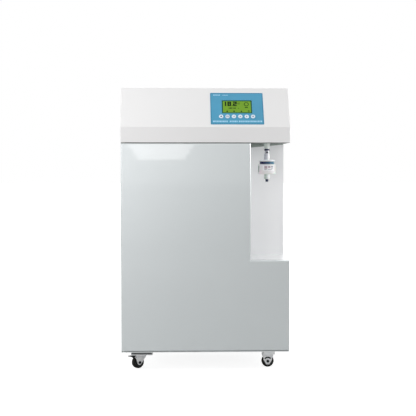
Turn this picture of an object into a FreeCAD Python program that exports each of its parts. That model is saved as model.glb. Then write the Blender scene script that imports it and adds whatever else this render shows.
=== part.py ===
import FreeCAD
import Part
import math
import os

os.makedirs("parts", exist_ok=True)
Vector = FreeCAD.Vector

# A floor-standing cabinet that makes ultrapure water, in millimetres.
# X runs to the right, Y to the back and Z up. The origin is on the floor, under the middle of the whole box.

# ---------------------------------------------------------------- driving dimensions
# Cabinet
BODY_WIDTH = 540.0
BODY_DEPTH = 460.0
REAR_REACH = 20.0            # how far the rear fittings stand behind the rear panel
OVERALL_HEIGHT = 915.0
SHEET = 1.5                  # side, rear and recess sheets
PAN_SHEET = 2.0
PAN_FLANGE = 20.0
PAN_SETBACK = 0.5            # the pan's front edge behind the door's face
POST = 25.0
POST_WALL = 2.0
PLATE_DEPTH = 200.0          # front face of the mounting plate behind the door's face
PLATE_SHEET = 2.0
TOUCH = 0.3                  # gap between parts that move past each other
FIT = 0.05                   # radial running clearance of a pin in its bush
PAST = 1.0                   # how far a cut runs past the face it goes through

# Head
HEAD_OVERHANG = 1.5
BAND_HEIGHT = 49.0
SLOPE_HEIGHT = 130.0
SLOPE_RECESS = 85.0
HEAD_SEAM = 1.0              # thickness of the head floor, whose edge shows under the band
HEAD_FLOOR_INSET = 1.0
COVER_WALL = 3.0
COVER_EDGE = 3.0
COVER_LIP = 12.0
COVER_LIP_SHEET = 2.0

# Control panel, on the slope: across from the middle, and up from the slope's lower edge
OVERLAY_LEFT = 17.0
OVERLAY_WIDTH = 171.0
OVERLAY_UP = 10.0
OVERLAY_HEIGHT = 125.0
OVERLAY_FILM = 0.6
OVERLAY_CORNER = 2.5
WINDOW_LEFT = 54.0
WINDOW_WIDTH = 97.5
WINDOW_UP = 53.5
WINDOW_HEIGHT = 52.0
MODULE_RIM = 4.0
MODULE_THICKNESS = 9.0
KEY_COUNT = 6
KEY_FIRST = 51.0
KEY_PITCH = 20.5
KEY_UP = 40.5
KEY_RADIUS = 7.0
KEY_PROUD = 1.6              # key top above the overlay
KEY_TOP_EDGE = 0.9
KEY_FLANGE = 1.5
KEY_FLANGE_SHEET = 1.2
KEY_STEM = 4.0               # stem length behind the flange
KEY_TRAVEL = 0.8
SWITCH_SIZE = 6.0
SWITCH_HEIGHT = 3.5
BOARD_SHEET = 1.6
BOARD_MARGIN = 10.0
BOARD_HALF = 7.0
STANDOFF_RADIUS = 2.5

# Dispensing recess, open to the front and to the right
NICHE_WIDTH = 125.0
NICHE_DEPTH = 190.0
NICHE_FLOOR_Z = 359.0
NICHE_BEND = 2.0

# Door
DOOR_THICKNESS = 20.0
DOOR_SKIN = 1.5
DOOR_LIP = 12.0
DOOR_EDGE = 4.0
DOOR_GAP = 3.0               # behind the door
DOOR_SEAM = 1.0              # above and below the door
PIVOT_INSET = 8.0            # pivot axis from the door's left edge and from its face
PIN_RADIUS = 2.5
PIN_REACH = 14.0
BUSH_WALL = 2.5
BUSH_COLLAR = 1.0
BUSH_LENGTH = 10.0
MAGNET_WIDTH = 12.0
MAGNET_HEIGHT = 40.0
MAGNET_GAP = 0.4
MAGNET_LOW_UP = 60.0
MAGNET_HIGH_DOWN = 60.0

# Castors
WHEEL_RADIUS = 20.0
TYRE_THICKNESS = 5.5
TYRE_WIDTH = 16.0
TYRE_EDGE = 3.0
RIM_INSET = 1.0              # wheel centre's face behind the tyre's
HUB_WIDTH = 18.6
HUB_RADIUS = 7.0
CASTOR_HEIGHT = 52.0
CASTOR_TRAIL = 18.0
LEFT_CASTOR_INSET = 65.2
RIGHT_CASTOR_INSET = 63.0
FRONT_CASTOR_INSET = 77.0
REAR_CASTOR_INSET = 60.0
FRONT_SWIVEL_DEG = -145.0    # direction of the front swivel fork's trail
REAR_SWIVEL_DEG = -160.0
RUNNER_HEIGHT = 11.0
RUNNER_SHEET = 2.0
RUNNER_SETBACK = 12.0
CASTOR_PLATE = 3.0
SWIVEL_PLATE_WIDTH = 70.0
SWIVEL_PLATE_DEPTH = 60.0
RIGID_PLATE_WIDTH = 36.0
RIGID_PLATE_DEPTH = 70.0
BOLT_MARGIN = 7.0
BOLT_RADIUS = 2.5
BOLT_HEAD_RADIUS = 4.5
BOLT_HEAD_HEIGHT = 3.5
HEAD_EDGE = 0.8              # rounding of bolt and screw heads
BOLT_TAIL = 4.0
FORK_SHEET = 2.0
RACE_GAP = 0.4
CROWN_RADIUS = 17.0
KING_PIN_RADIUS = 4.0
KING_HEAD_RADIUS = 7.0
KING_HEAD_HEIGHT = 2.0
AXLE_RADIUS = 3.0
AXLE_BOSS = 8.0
HEEL_BACK = 6.4              # swivel leg's heel behind the axle, and below it
HEEL_DOWN = 4.8
AXLE_HEAD_RADIUS = 4.5
AXLE_HEAD_HEIGHT = 2.4
PEDAL_AHEAD = 14.0           # pedal pivot beyond the axle, along the trail
PEDAL_ABOVE = 19.0           # and above it
PEDAL_PIN_RADIUS = 1.5
PEDAL_BARREL = 3.0
PEDAL_EAR = 4.0
PEDAL_REACH = 15.5
PEDAL_SHEET = 2.4
PEDAL_OVERHANG = 4.0
PEDAL_SPLAY = 2.0
PEDAL_CAM = 1.2              # radius of the cam's tip
PEDAL_SWING_DEG = 25.0
RIGID_HALF = 18.0            # half width of the rigid fork's band
RIGID_BAND_UP = 17.0         # band's lower edge above the axle
RIGID_WAIST_HALF = 13.8
RIGID_WAIST_UP = 9.5
RIGID_CHEEK_HALF = 14.0
RIGID_CHEEK_UP = 4.0
RIGID_TOE_HALF = 5.0
RIGID_TOE_DOWN = 11.0
RIGID_SLOT_INNER = 9.8
RIGID_SLOT_OUTER = 14.6
RIGID_SLOT_HALF_DEG = 52.0

# Dispensing outlet, hanging from the head over the recess
OUTLET_FROM_RIGHT = 65.0
OUTLET_FROM_FRONT = 95.0
NUT_TOP_RADIUS = 10.5
NUT_LOW_RADIUS = 8.0
NUT_HEIGHT = 15.0
THREAD_RADIUS = 6.0
LOCKNUT_RADIUS = 12.0
LOCKNUT_HEIGHT = 6.0
STEM_RADIUS = 6.5
STEM_HEIGHT = 3.0
RING_RADIUS = 8.8
RING_HEIGHT = 5.7
COUPLER_RADIUS = 7.5
COUPLER_HEIGHT = 11.5
BUTTON_RADIUS = 3.3          # release button in the coupler's front
BUTTON_PROUD = 1.2
BUTTON_POCKET = 4.0
BUTTON_TRAVEL = 1.0
SLEEVE_RADIUS = 9.2
SLEEVE_HEIGHT = 18.5
CAP_RADIUS = 25.8
CAP_HEIGHT = 5.5
BAND_RADIUS = 23.8
BAND_RING_HEIGHT = 9.0
SHELL_RADIUS = 28.4
SHELL_HEIGHT = 33.0
SHELL_WALL = 2.0
SHELL_EDGE = 4.0
CORE_GAP = 3.5
CORE_FOLD = 5.0
CORE_FOLDS = 16
NECK_RADIUS = 9.2
NECK_HEIGHT = 16.0
TIP_RADIUS = 4.8
TIP_TAPER = 0.6
TIP_HEIGHT = 8.5
OUTLET_EDGE = 1.5            # rounding of the cap and the neck
RING_EDGE = 1.0
TIP_BORE = 3.0

# Water treatment inside
SIDE_ROOM = 20.0             # prefilter heads from the left panel
FILTER_SHARE = 0.19          # prefilters' pitch, as a share of the front bay's width
FILTER_GAP = 4.0             # between neighbouring heads
FILTER_HEAD_HEIGHT = 42.0
FILTER_HEAD_BRACKET = 8.0
FILTER_HEAD_DROP = 34.0      # head top under the cabinet's top
FILTER_COUNT = 3
BOWL_INSET = 3.0             # bowl's side within its head's
BOWL_RISE = 5.0              # bowls' lower ends above the polishers'
BOWL_EDGE = 12.0
NIPPLE_RADIUS = 8.0
POLISHER_SHARE = 0.16        # polishers' pitch, as a share of the front bay's width
POLISHER_GAP = 6.0           # between the two polishers
POLISHER_RISE = 105.0        # their lower ends above the reactor
POLISHER_DROP = 61.0
POLISHER_ROOM = 12.0
POLISHER_EDGE = 6.0
STAND_OFF = 10.0             # tube-shaped units from the mounting plate
CLIP_WALL = 2.0
CLIP_WIDTH = 14.0
CLIP_FOOT = 18.0
CLIP_INSET = 50.0
PORT_RADIUS = 6.0
PORT_LENGTH = 8.0
END_ROOM = 12.0              # membrane housings and reactor from the left panel
MEMBRANE_RADIUS = 28.0
MEMBRANE_ROOM = 112.0        # how much shorter a membrane housing is than the front bay
MEMBRANE_UP = 58.0           # axis of the lower housing above the pan
MEMBRANE_PITCH = 66.0
REACTOR_RADIUS = 32.0
REACTOR_ROOM = 92.0          # and the reactor
REACTOR_UP = 74.0            # axis of the reactor above the upper housing's axis
PUMP_MOTOR_RADIUS = 40.0
PUMP_MOTOR_LENGTH = 92.0
PUMP_HEAD_RADIUS = 34.0
PUMP_HEAD_LENGTH = 36.0
PUMP_FOOT_WIDTH = 60.0
PUMP_EDGE = 4.0
BOOSTER_FROM_RIGHT = 8.0
BOOSTER_FROM_FRONT = 100.0
CIRCULATOR_RADIUS = 34.0
CIRCULATOR_FROM_LEFT = 42.0
CIRCULATOR_BEHIND = 98.0     # pump axis behind the mounting plate
VALVE_SIZE = 34.0
VALVE_DEPTH = 48.0
VALVE_COIL = 26.0
VALVE_COIL_DEPTH = 24.0
FEED_VALVE_RISE = 30.0       # feed valve above the polishers' lower ends
CELL_HALF = 12.0
CELL_HEIGHT = 40.0
CELL_RISE = 40.0             # riser's cell above the riser's start
SUPPLY_WIDTH = 180.0
SUPPLY_HEIGHT = 120.0
SUPPLY_DEPTH = 52.0
SUPPLY_LEFT = 100.0          # from the left panel
SUPPLY_DROP = 60.0
SUPPLY_EDGE = 1.5
MAIN_BOARD_WIDTH = 175.0
MAIN_BOARD_HEIGHT = 130.0
MAIN_BOARD_DROP = 60.0
MAIN_BOARD_FROM_RIGHT = 25.0
MAIN_BOARD_STAND = 8.0
# The main board's tall parts: left edge, bottom edge, width, height and thickness.
BOARD_PARTS = (
    (15.0, 90.0, 43.0, 28.0, 12.0),
    (68.0, 40.0, 48.0, 35.0, 3.0),
    (130.0, 12.0, 33.0, 98.0, 12.0),
)

# Tubing and rear fittings
TUBE_RADIUS = 3.175
TUBE_BEND = 14.0
TUBE_HOLE = 5.0
TUBE_RISE = 18.0             # cross runs above the prefilter heads
OVER_RISE = 10.0             # the polishers' link above them
PUMP_RUN_DROP = 70.0         # run to the booster pump under the polishers
LINK_DROP = 45.0             # run from the reactor under the polishers' lower ports
RISER_DROP = 28.0            # riser's start under them
PORT_TURN = 2.0              # straight run between a lying unit's port and its first bend
TANK_RUN = 11.5              # and between the circulation pump's port and its bend
RISER_BACK = 58.0            # riser and cross runs behind the mounting plate
CROSS_UP = 36.0              # cross run above the head floor
FITTING_RADIUS = 10.5
FITTING_THREAD = 8.0
FITTING_NUT = 5.0
FITTING_TAIL = 13.5
FITTING_EDGE = 1.5
FITTING_BORE = 3.3
FITTING_BORE_DEPTH = 16.0
REJECT_PORT_X = 0.0

# Mains inlet with its rocker switch
INLET_FROM_RIGHT = 70.0
INLET_Z = 150.0
INLET_FLANGE_WIDTH = 44.0
INLET_FLANGE_HEIGHT = 66.0
INLET_FLANGE_SHEET = 2.5
INLET_FLANGE_CORNER = 4.0
INLET_BODY_WIDTH = 30.0
INLET_BODY_HEIGHT = 52.0
INLET_BODY_DEPTH = 26.0
SOCKET_WIDTH = 24.0
SOCKET_HEIGHT = 16.5
SOCKET_DEPTH = 17.0
SOCKET_CORNER = 2.5
SOCKET_DROP = 11.0           # socket centre under the module's centre
PIN_WIDTH = 2.0
PIN_HEIGHT = 4.0
PIN_SPACING = 7.0
PIN_RISE = 2.5
PIN_LENGTH = 14.0
ROCKER_WIDTH = 13.0
ROCKER_HALF = 7.5
ROCKER_DEPTH = 4.0
ROCKER_FACE = 5.6            # ends of the rocker's face from its axis, and their dip
ROCKER_DIP = 1.5
ROCKER_PIN_RADIUS = 1.5
ROCKER_RISE = 12.5           # rocker centre above the module's centre
ROCKER_TILT_DEG = 8.0

# Rear panel
VENT_COUNT = 9
VENT_WIDTH = 110.0
VENT_HEIGHT = 3.5
VENT_PITCH = 11.0
VENT_DROP = 90.0
VENT_FROM_MIDDLE = 120.0
SCREW_RADIUS = 2.0
SCREW_HEAD_RADIUS = 4.0
SCREW_HEAD_HEIGHT = 2.2
SCREW_INSET_Z = 30.0
SCREW_ROWS = 4

# ---------------------------------------------------------------- planes worked out from them
HALF = BODY_WIDTH / 2
FRONT = -(BODY_DEPTH + REAR_REACH) / 2
REAR = FRONT + BODY_DEPTH
INNER = HALF - SHEET
REAR_INNER = REAR - SHEET
HEAD_HALF = HALF + HEAD_OVERHANG
HEAD_Z = OVERALL_HEIGHT - SLOPE_HEIGHT - BAND_HEIGHT
SLOPE_Z = HEAD_Z + BAND_HEIGHT
BODY_TOP = HEAD_Z - HEAD_SEAM
PAN_Z = CASTOR_HEIGHT + RUNNER_HEIGHT
PAN_TOP = PAN_Z + PAN_SHEET
DOOR_BOTTOM = PAN_TOP + DOOR_SEAM
DOOR_TOP = BODY_TOP - DOOR_SEAM
DOOR_BACK = FRONT + DOOR_THICKNESS
OPENING_Y = DOOR_BACK + DOOR_GAP
POST_Y = OPENING_Y + SHEET
NICHE_LEFT = HALF - NICHE_WIDTH
NICHE_BACK = FRONT + NICHE_DEPTH
LINER_LEFT = NICHE_LEFT - SHEET
LINER_BOTTOM = NICHE_FLOOR_Z - SHEET
LINER_BACK = NICHE_BACK + SHEET
PLATE_Y = FRONT + PLATE_DEPTH
PLATE_BACK = PLATE_Y + PLATE_SHEET
PLATE_BOTTOM = PAN_TOP + PAN_FLANGE
SLOPE_ANGLE = math.degrees(math.atan2(SLOPE_HEIGHT, SLOPE_RECESS))
SLOPE_LENGTH = math.hypot(SLOPE_HEIGHT, SLOPE_RECESS)
PIVOT_X = -HALF + PIVOT_INSET
PIVOT_Y = FRONT + PIVOT_INSET


# ---------------------------------------------------------------- building blocks
def box(x, y, z):
    """A block between the low and high value of each pair."""
    corner = Vector(x[0], y[0], z[0])
    return Part.makeBox(x[1] - x[0], y[1] - y[0], z[1] - z[0], corner)


def rod(radius, start, end):
    """A round bar from one point to another."""
    along = Vector(*end) - Vector(*start)
    return Part.makeCylinder(radius, along.Length, Vector(*start), along)


def tapered_rod(start_radius, end_radius, start, end):
    along = Vector(*end) - Vector(*start)
    return Part.makeCone(start_radius, end_radius, along.Length, Vector(*start), along)


def joined(solids):
    """Solids that touch or overlap, made into one."""
    solids = list(solids)
    return solids[0].multiFuse(solids[1:]).removeSplitter()


def prism(corners, travel):
    """A flat outline of corner points, pushed along a vector."""
    points = [Vector(*corner) for corner in corners]
    return Part.Face(Part.makePolygon(points + points[:1])).extrude(Vector(*travel))


def side_prism(outline, x):
    """An outline of (y, z) corners, pushed from one x to another."""
    return prism([(x[0], y, z) for y, z in outline], (x[1] - x[0], 0, 0))


def front_prism(outline, y):
    """An outline of (x, z) corners, pushed from one y to another."""
    return prism([(x, y[0], z) for x, z in outline], (0, y[1] - y[0], 0))


def edges_where(solid, test):
    return [edge for edge in solid.Edges if test(edge)]


def straight(edge, axis):
    """Whether an edge is a straight one along the named axis."""
    first = edge.Vertexes[0].Point
    last = edge.Vertexes[-1].Point
    along = last - first
    others = [abs(getattr(along, name)) for name in "xyz" if name != axis]
    return abs(getattr(along, axis)) > 1e-6 and max(others) < 1e-6


def on_plane(edge, axis, value):
    """Whether all of an edge lies on the plane where axis equals value."""
    limits = edge.BoundBox
    low = getattr(limits, axis.upper() + "Min")
    high = getattr(limits, axis.upper() + "Max")
    return abs(low - value) < 1e-3 and abs(high - value) < 1e-3


def rim_rounded(solid, radius, axis, value):
    """Rounds every edge that lies on one plane."""
    rim = edges_where(solid, lambda edge: on_plane(edge, axis, value))
    return solid.makeFillet(radius, rim)


def save(name, *solids):
    """Writes one node: a single solid, or a group of separate ones."""
    whole = solids[0] if len(solids) == 1 else Part.makeCompound(list(solids))
    whole.exportStep("parts/" + name + ".step")


def on_slope(solid):
    """Carries a solid from the panel's frame (x across, y up the slope, z out of it) to its place."""
    turn = FreeCAD.Rotation(Vector(1, 0, 0), SLOPE_ANGLE)
    placed = solid.copy()
    placed.transformShape(FreeCAD.Placement(Vector(0, FRONT, SLOPE_Z), turn).toMatrix())
    return placed


def tube(points):
    """A water tube: straight runs joined by tangent arcs of one bend radius."""
    points = [Vector(*point) for point in points]
    edges = []
    here = points[0]
    for before, corner, after in zip(points, points[1:], points[2:]):
        back = (before - corner).normalize()
        ahead = (after - corner).normalize()
        turn = math.pi - back.getAngle(ahead)
        setback = TUBE_BEND * math.tan(turn / 2)
        first = corner + back * setback
        last = corner + ahead * setback
        bisector = (back + ahead).normalize()
        middle = corner + bisector * (TUBE_BEND / math.cos(turn / 2) - TUBE_BEND)
        edges.append(Part.makeLine(here, first))
        edges.append(Part.Arc(first, middle, last).toShape())
        here = last
    edges.append(Part.makeLine(here, points[-1]))
    path = Part.Wire(edges)
    start = (points[1] - points[0]).normalize()
    section = Part.Wire([Part.makeCircle(TUBE_RADIUS, points[0], start)])
    swept = path.makePipeShell([section], True, True)
    ideal = math.pi * TUBE_RADIUS**2 * path.Length
    print("tube length %.0f, volume ratio %.4f" % (path.Length, swept.Volume / ideal))
    return swept


# ---------------------------------------------------------------- head
def head_section(inset):
    """The head's side outline, drawn inward by a wall thickness."""
    normal_y = SLOPE_HEIGHT / SLOPE_LENGTH
    normal_z = SLOPE_RECESS / SLOPE_LENGTH
    front_y = FRONT + inset
    top_z = OVERALL_HEIGHT - inset
    # A point on the inset slope, and where that slope meets the inset front and top.
    slope_y = FRONT + inset * normal_y
    slope_z = SLOPE_Z - inset * normal_z
    knee_z = slope_z + (front_y - slope_y) * SLOPE_HEIGHT / SLOPE_RECESS
    brow_y = slope_y + (top_z - slope_z) * SLOPE_RECESS / SLOPE_HEIGHT
    bottom_z = HEAD_Z if inset == 0 else HEAD_Z + COVER_LIP_SHEET
    return [
        (front_y, bottom_z),
        (front_y, knee_z),
        (brow_y, top_z),
        (REAR - inset, top_z),
        (REAR - inset, bottom_z),
    ]


def key_centres():
    return [KEY_FIRST + KEY_PITCH * number for number in range(KEY_COUNT)]


def window_cut(margin, depth):
    """The display's window, grown by a margin, from above the panel down to a depth below it."""
    return box(
        (WINDOW_LEFT - margin, WINDOW_LEFT + WINDOW_WIDTH + margin),
        (WINDOW_UP - margin, WINDOW_UP + WINDOW_HEIGHT + margin),
        depth,
    )


def make_head_cover():
    outer = side_prism(head_section(0), (-HEAD_HALF, HEAD_HALF))
    corners = edges_where(outer, lambda edge: not on_plane(edge, "z", HEAD_Z))
    outer = outer.makeFillet(COVER_EDGE, corners)
    inside = HEAD_HALF - COVER_WALL
    cavity = side_prism(head_section(COVER_WALL), (-inside, inside))
    mouth = box(
        (-inside + COVER_LIP, inside - COVER_LIP),
        (FRONT + COVER_WALL + COVER_LIP, REAR - COVER_WALL - COVER_LIP),
        (HEAD_Z - PAST, HEAD_Z + COVER_LIP_SHEET + PAST),
    )
    cuts = [cavity, mouth, on_slope(window_cut(0, (-2 * COVER_WALL, COVER_WALL)))]
    for across in key_centres():
        hole = rod(KEY_RADIUS + TOUCH, (across, KEY_UP, -2 * COVER_WALL), (across, KEY_UP, COVER_WALL))
        cuts.append(on_slope(hole))
    return outer.cut(cuts)


def make_head_floor():
    reach = HALF - HEAD_FLOOR_INSET
    floor = box((-reach, reach), (FRONT + HEAD_FLOOR_INSET, REAR - HEAD_FLOOR_INSET), (BODY_TOP, HEAD_Z))
    holes = []
    for radius, x, y in (
        (PIN_RADIUS, PIVOT_X, PIVOT_Y),
        (THREAD_RADIUS, OUTLET_X, OUTLET_Y),
        (TUBE_HOLE, POLISHER_X[0], RISER_Y),
    ):
        holes.append(rod(radius, (x, y, BODY_TOP - PAST), (x, y, HEAD_Z + PAST)))
    return floor.cut(holes)


def make_control_overlay():
    film = box(
        (OVERLAY_LEFT, OVERLAY_LEFT + OVERLAY_WIDTH),
        (OVERLAY_UP, OVERLAY_UP + OVERLAY_HEIGHT),
        (0, OVERLAY_FILM),
    )
    film = film.makeFillet(OVERLAY_CORNER, edges_where(film, lambda edge: straight(edge, "z")))
    low = -PAST
    top = OVERLAY_FILM + PAST
    cuts = [window_cut(0, (low, top))]
    for across in key_centres():
        cuts.append(rod(KEY_RADIUS + TOUCH, (across, KEY_UP, low), (across, KEY_UP, top)))
    return on_slope(film.cut(cuts))


def make_display_module():
    frame = window_cut(MODULE_RIM, (-COVER_WALL - MODULE_THICKNESS, -COVER_WALL))
    glass = window_cut(-TOUCH, (-COVER_WALL, 0))
    return on_slope(frame), on_slope(glass)


def make_control_board():
    """The board behind the keys, its six switches, and the standoffs that hang it from the cover."""
    stem_end = -COVER_WALL - TOUCH - KEY_FLANGE_SHEET - KEY_STEM
    switch_top = stem_end - KEY_TRAVEL - TOUCH / 3
    board_top = switch_top - SWITCH_HEIGHT
    board = box(
        (KEY_FIRST - BOARD_MARGIN, KEY_FIRST + KEY_PITCH * (KEY_COUNT - 1) + BOARD_MARGIN),
        (KEY_UP - BOARD_HALF, KEY_UP + BOARD_HALF),
        (board_top - BOARD_SHEET, board_top),
    )
    parts = [board]
    for across in key_centres():
        reach = SWITCH_SIZE / 2
        switch_x = (across - reach, across + reach)
        parts.append(box(switch_x, (KEY_UP - reach, KEY_UP + reach), (board_top, switch_top)))
    for across in key_centres()[:-1]:
        between = across + KEY_PITCH / 2
        for up in (KEY_UP - BOARD_HALF + STANDOFF_RADIUS, KEY_UP + BOARD_HALF - STANDOFF_RADIUS):
            parts.append(rod(STANDOFF_RADIUS, (between, up, board_top), (between, up, -COVER_WALL)))
    return on_slope(joined(parts))


def make_key(across):
    """A round key: its cap through the cover, a flange that keeps it in, and a stem for the switch."""
    top = OVERLAY_FILM + KEY_PROUD
    flange_top = -COVER_WALL - TOUCH
    flange_low = flange_top - KEY_FLANGE_SHEET
    cap = rod(KEY_RADIUS, (across, KEY_UP, flange_low), (across, KEY_UP, top))
    cap = rim_rounded(cap, KEY_TOP_EDGE, "z", top)
    flange = rod(KEY_RADIUS + KEY_FLANGE, (across, KEY_UP, flange_low), (across, KEY_UP, flange_top))
    stem = rod(SWITCH_SIZE / 2, (across, KEY_UP, flange_low - KEY_STEM), (across, KEY_UP, flange_low))
    return on_slope(joined([cap, flange, stem]))


# ---------------------------------------------------------------- cabinet
def make_base_pan():
    plate = box((-HALF, HALF), (FRONT + PAN_SETBACK, REAR), (PAN_Z, PAN_TOP))
    side_y = (POST_Y + POST, REAR_INNER - POST)
    parts = [plate]
    for side in (-1, 1):
        edge = sorted((side * INNER, side * (INNER - PAN_SHEET)))
        parts.append(box(edge, side_y, (PAN_TOP, PLATE_BOTTOM)))
    between = INNER - POST
    for front_x in ((-between, LINER_LEFT - POST), (LINER_LEFT, between)):
        parts.append(box(front_x, (POST_Y, POST_Y + PAN_SHEET), (PAN_TOP, PLATE_BOTTOM)))
    parts.append(box((-between, between), (REAR_INNER - PAN_SHEET, REAR_INNER), (PAN_TOP, PLATE_BOTTOM)))
    pan = joined(parts)
    return pan.cut(rod(PIN_RADIUS, (PIVOT_X, PIVOT_Y, PAN_Z - PAST), (PIVOT_X, PIVOT_Y, PAN_TOP + PAST)))


def make_base_runners():
    """Two channels, open upward, that carry the castors' plates along the pan's left and right."""
    runners = []
    for middle, width, _ in plate_sizes():
        outer = box(
            (middle - width / 2, middle + width / 2),
            (FRONT + RUNNER_SETBACK, REAR - RUNNER_SETBACK),
            (CASTOR_HEIGHT, PAN_Z),
        )
        inside = width / 2 - RUNNER_SHEET
        floor_top = CASTOR_HEIGHT + RUNNER_SHEET
        channel = box((middle - inside, middle + inside), (FRONT, REAR), (floor_top, PAN_Z))
        holes = [
            rod(BOLT_RADIUS, (x, y, CASTOR_HEIGHT - PAST), (x, y, floor_top + PAST))
            for x, y in bolt_places()
            if abs(x - middle) < width / 2
        ]
        runners.append(outer.cut([channel] + holes))
    return runners


def make_post(x, y, top):
    outer = box((x, x + POST), (y, y + POST), (PAN_TOP, top))
    inner = box((x + POST_WALL, x + POST - POST_WALL), (y + POST_WALL, y + POST - POST_WALL), (PAN_TOP, top))
    return outer.cut(inner)


def make_frame_uprights():
    rear_y = REAR_INNER - POST
    return [
        make_post(-INNER, POST_Y, BODY_TOP),
        make_post(LINER_LEFT - POST, POST_Y, BODY_TOP),
        make_post(INNER - POST, POST_Y, LINER_BOTTOM),
        make_post(-INNER, rear_y, BODY_TOP),
        make_post(INNER - POST, rear_y, BODY_TOP),
    ]


def make_left_side_panel():
    sheet = box((-HALF, -INNER), (OPENING_Y, REAR_INNER), (PAN_TOP, BODY_TOP))
    hem = box((-HALF, -INNER + DOOR_LIP), (OPENING_Y, POST_Y), (PAN_TOP, BODY_TOP))
    return joined([sheet, hem])


def make_right_side_panel():
    """Low in front of the recess's back wall, and full height behind it."""
    outline = [
        (OPENING_Y, PAN_TOP),
        (REAR_INNER, PAN_TOP),
        (REAR_INNER, BODY_TOP),
        (LINER_BACK, BODY_TOP),
        (LINER_BACK, LINER_BOTTOM),
        (OPENING_Y, LINER_BOTTOM),
    ]
    sheet = side_prism(outline, (INNER, HALF))
    hem = box((INNER - DOOR_LIP, HALF), (OPENING_Y, POST_Y), (PAN_TOP, LINER_BOTTOM))
    return joined([sheet, hem])


def make_niche_liner():
    """One folded sheet: the recess's left wall, back wall and floor."""
    outer = box((LINER_LEFT, HALF), (OPENING_Y, LINER_BACK), (LINER_BOTTOM, BODY_TOP))
    hollow = box((NICHE_LEFT, HALF + PAST), (OPENING_Y - PAST, NICHE_BACK), (NICHE_FLOOR_Z, BODY_TOP + PAST))
    corners = [
        edge
        for edge in hollow.Edges
        if (straight(edge, "z") and on_plane(edge, "x", NICHE_LEFT) and on_plane(edge, "y", NICHE_BACK))
        or (straight(edge, "x") and on_plane(edge, "z", NICHE_FLOOR_Z) and on_plane(edge, "y", NICHE_BACK))
        or (straight(edge, "y") and on_plane(edge, "z", NICHE_FLOOR_Z) and on_plane(edge, "x", NICHE_LEFT))
    ]
    return outer.cut(hollow.makeFillet(NICHE_BEND, corners))


def make_mounting_plate():
    plate = box((-INNER, INNER), (PLATE_Y, PLATE_BACK), (PLATE_BOTTOM, BODY_TOP))
    holes = [rod(TUBE_HOLE, (x, PLATE_Y - PAST, z), (x, PLATE_BACK + PAST, z)) for x, z in PLATE_HOLES]
    return plate.cut(holes)


def make_rear_panel():
    panel = box((-HALF, HALF), (REAR_INNER, REAR), (PAN_TOP, BODY_TOP))
    cuts = []
    through = (REAR_INNER - PAST, REAR + PAST)
    for middle in (-VENT_FROM_MIDDLE, VENT_FROM_MIDDLE):
        for number in range(VENT_COUNT):
            z = BODY_TOP - VENT_DROP - VENT_PITCH * number
            reach = VENT_WIDTH / 2
            cuts.append(box((middle - reach, middle + reach), through, (z - VENT_HEIGHT, z)))
    width = INLET_BODY_WIDTH / 2
    height = INLET_BODY_HEIGHT / 2
    cuts.append(box((INLET_X - width, INLET_X + width), through, (INLET_Z - height, INLET_Z + height)))
    holes = [(FITTING_THREAD, x, FITTING_Z) for x in FITTING_X]
    holes += [(SCREW_RADIUS, x, z) for x, z in panel_screw_places()]
    for radius, x, z in holes:
        cuts.append(rod(radius, (x, through[0], z), (x, through[1], z)))
    return panel.cut(cuts)


def panel_screw_places():
    """Screws up both edges of the rear panel, into the rear uprights."""
    x = INNER - POST / 2
    step = (BODY_TOP - PAN_TOP - 2 * SCREW_INSET_Z) / (SCREW_ROWS - 1)
    rows = [PAN_TOP + SCREW_INSET_Z + step * number for number in range(SCREW_ROWS)]
    return [(side * x, z) for side in (-1, 1) for z in rows]


def make_panel_screws():
    screws = []
    for x, z in panel_screw_places():
        head = rod(SCREW_HEAD_RADIUS, (x, REAR, z), (x, REAR + SCREW_HEAD_HEIGHT, z))
        head = rim_rounded(head, HEAD_EDGE, "y", REAR + SCREW_HEAD_HEIGHT)
        shank = rod(SCREW_RADIUS, (x, REAR_INNER, z), (x, REAR, z))
        screws.append(joined([head, shank]))
    return screws


# ---------------------------------------------------------------- door
def door_outline(inset):
    """The door's L shape, drawn inward."""
    return [
        (-HALF + inset, DOOR_BOTTOM + inset),
        (HALF - inset, DOOR_BOTTOM + inset),
        (HALF - inset, NICHE_FLOOR_Z - inset),
        (NICHE_LEFT - inset, NICHE_FLOOR_Z - inset),
        (NICHE_LEFT - inset, DOOR_TOP - inset),
        (-HALF + inset, DOOR_TOP - inset),
    ]


def bush_ends():
    """For each bush: the door edge it sits in, and the direction into the door."""
    return ((DOOR_TOP, -1), (DOOR_BOTTOM, 1))


def make_front_door():
    """A folded tray, open at the back, with a lip round the opening."""
    outer = rim_rounded(front_prism(door_outline(0), (FRONT, DOOR_BACK)), DOOR_EDGE, "y", FRONT)
    hollow = front_prism(door_outline(DOOR_SKIN), (FRONT + DOOR_SKIN, DOOR_BACK - DOOR_SKIN))
    hollow = rim_rounded(hollow, DOOR_EDGE - DOOR_SKIN, "y", FRONT + DOOR_SKIN)
    mouth = front_prism(door_outline(DOOR_LIP), (DOOR_BACK - 2 * DOOR_SKIN, DOOR_BACK + PAST))
    cuts = [hollow, mouth]
    for z, inward in bush_ends():
        outside = (PIVOT_X, PIVOT_Y, z - inward * PAST)
        cuts.append(rod(PIN_RADIUS + BUSH_WALL, outside, (PIVOT_X, PIVOT_Y, z + inward * DOOR_EDGE)))
    return outer.cut(cuts)


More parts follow.
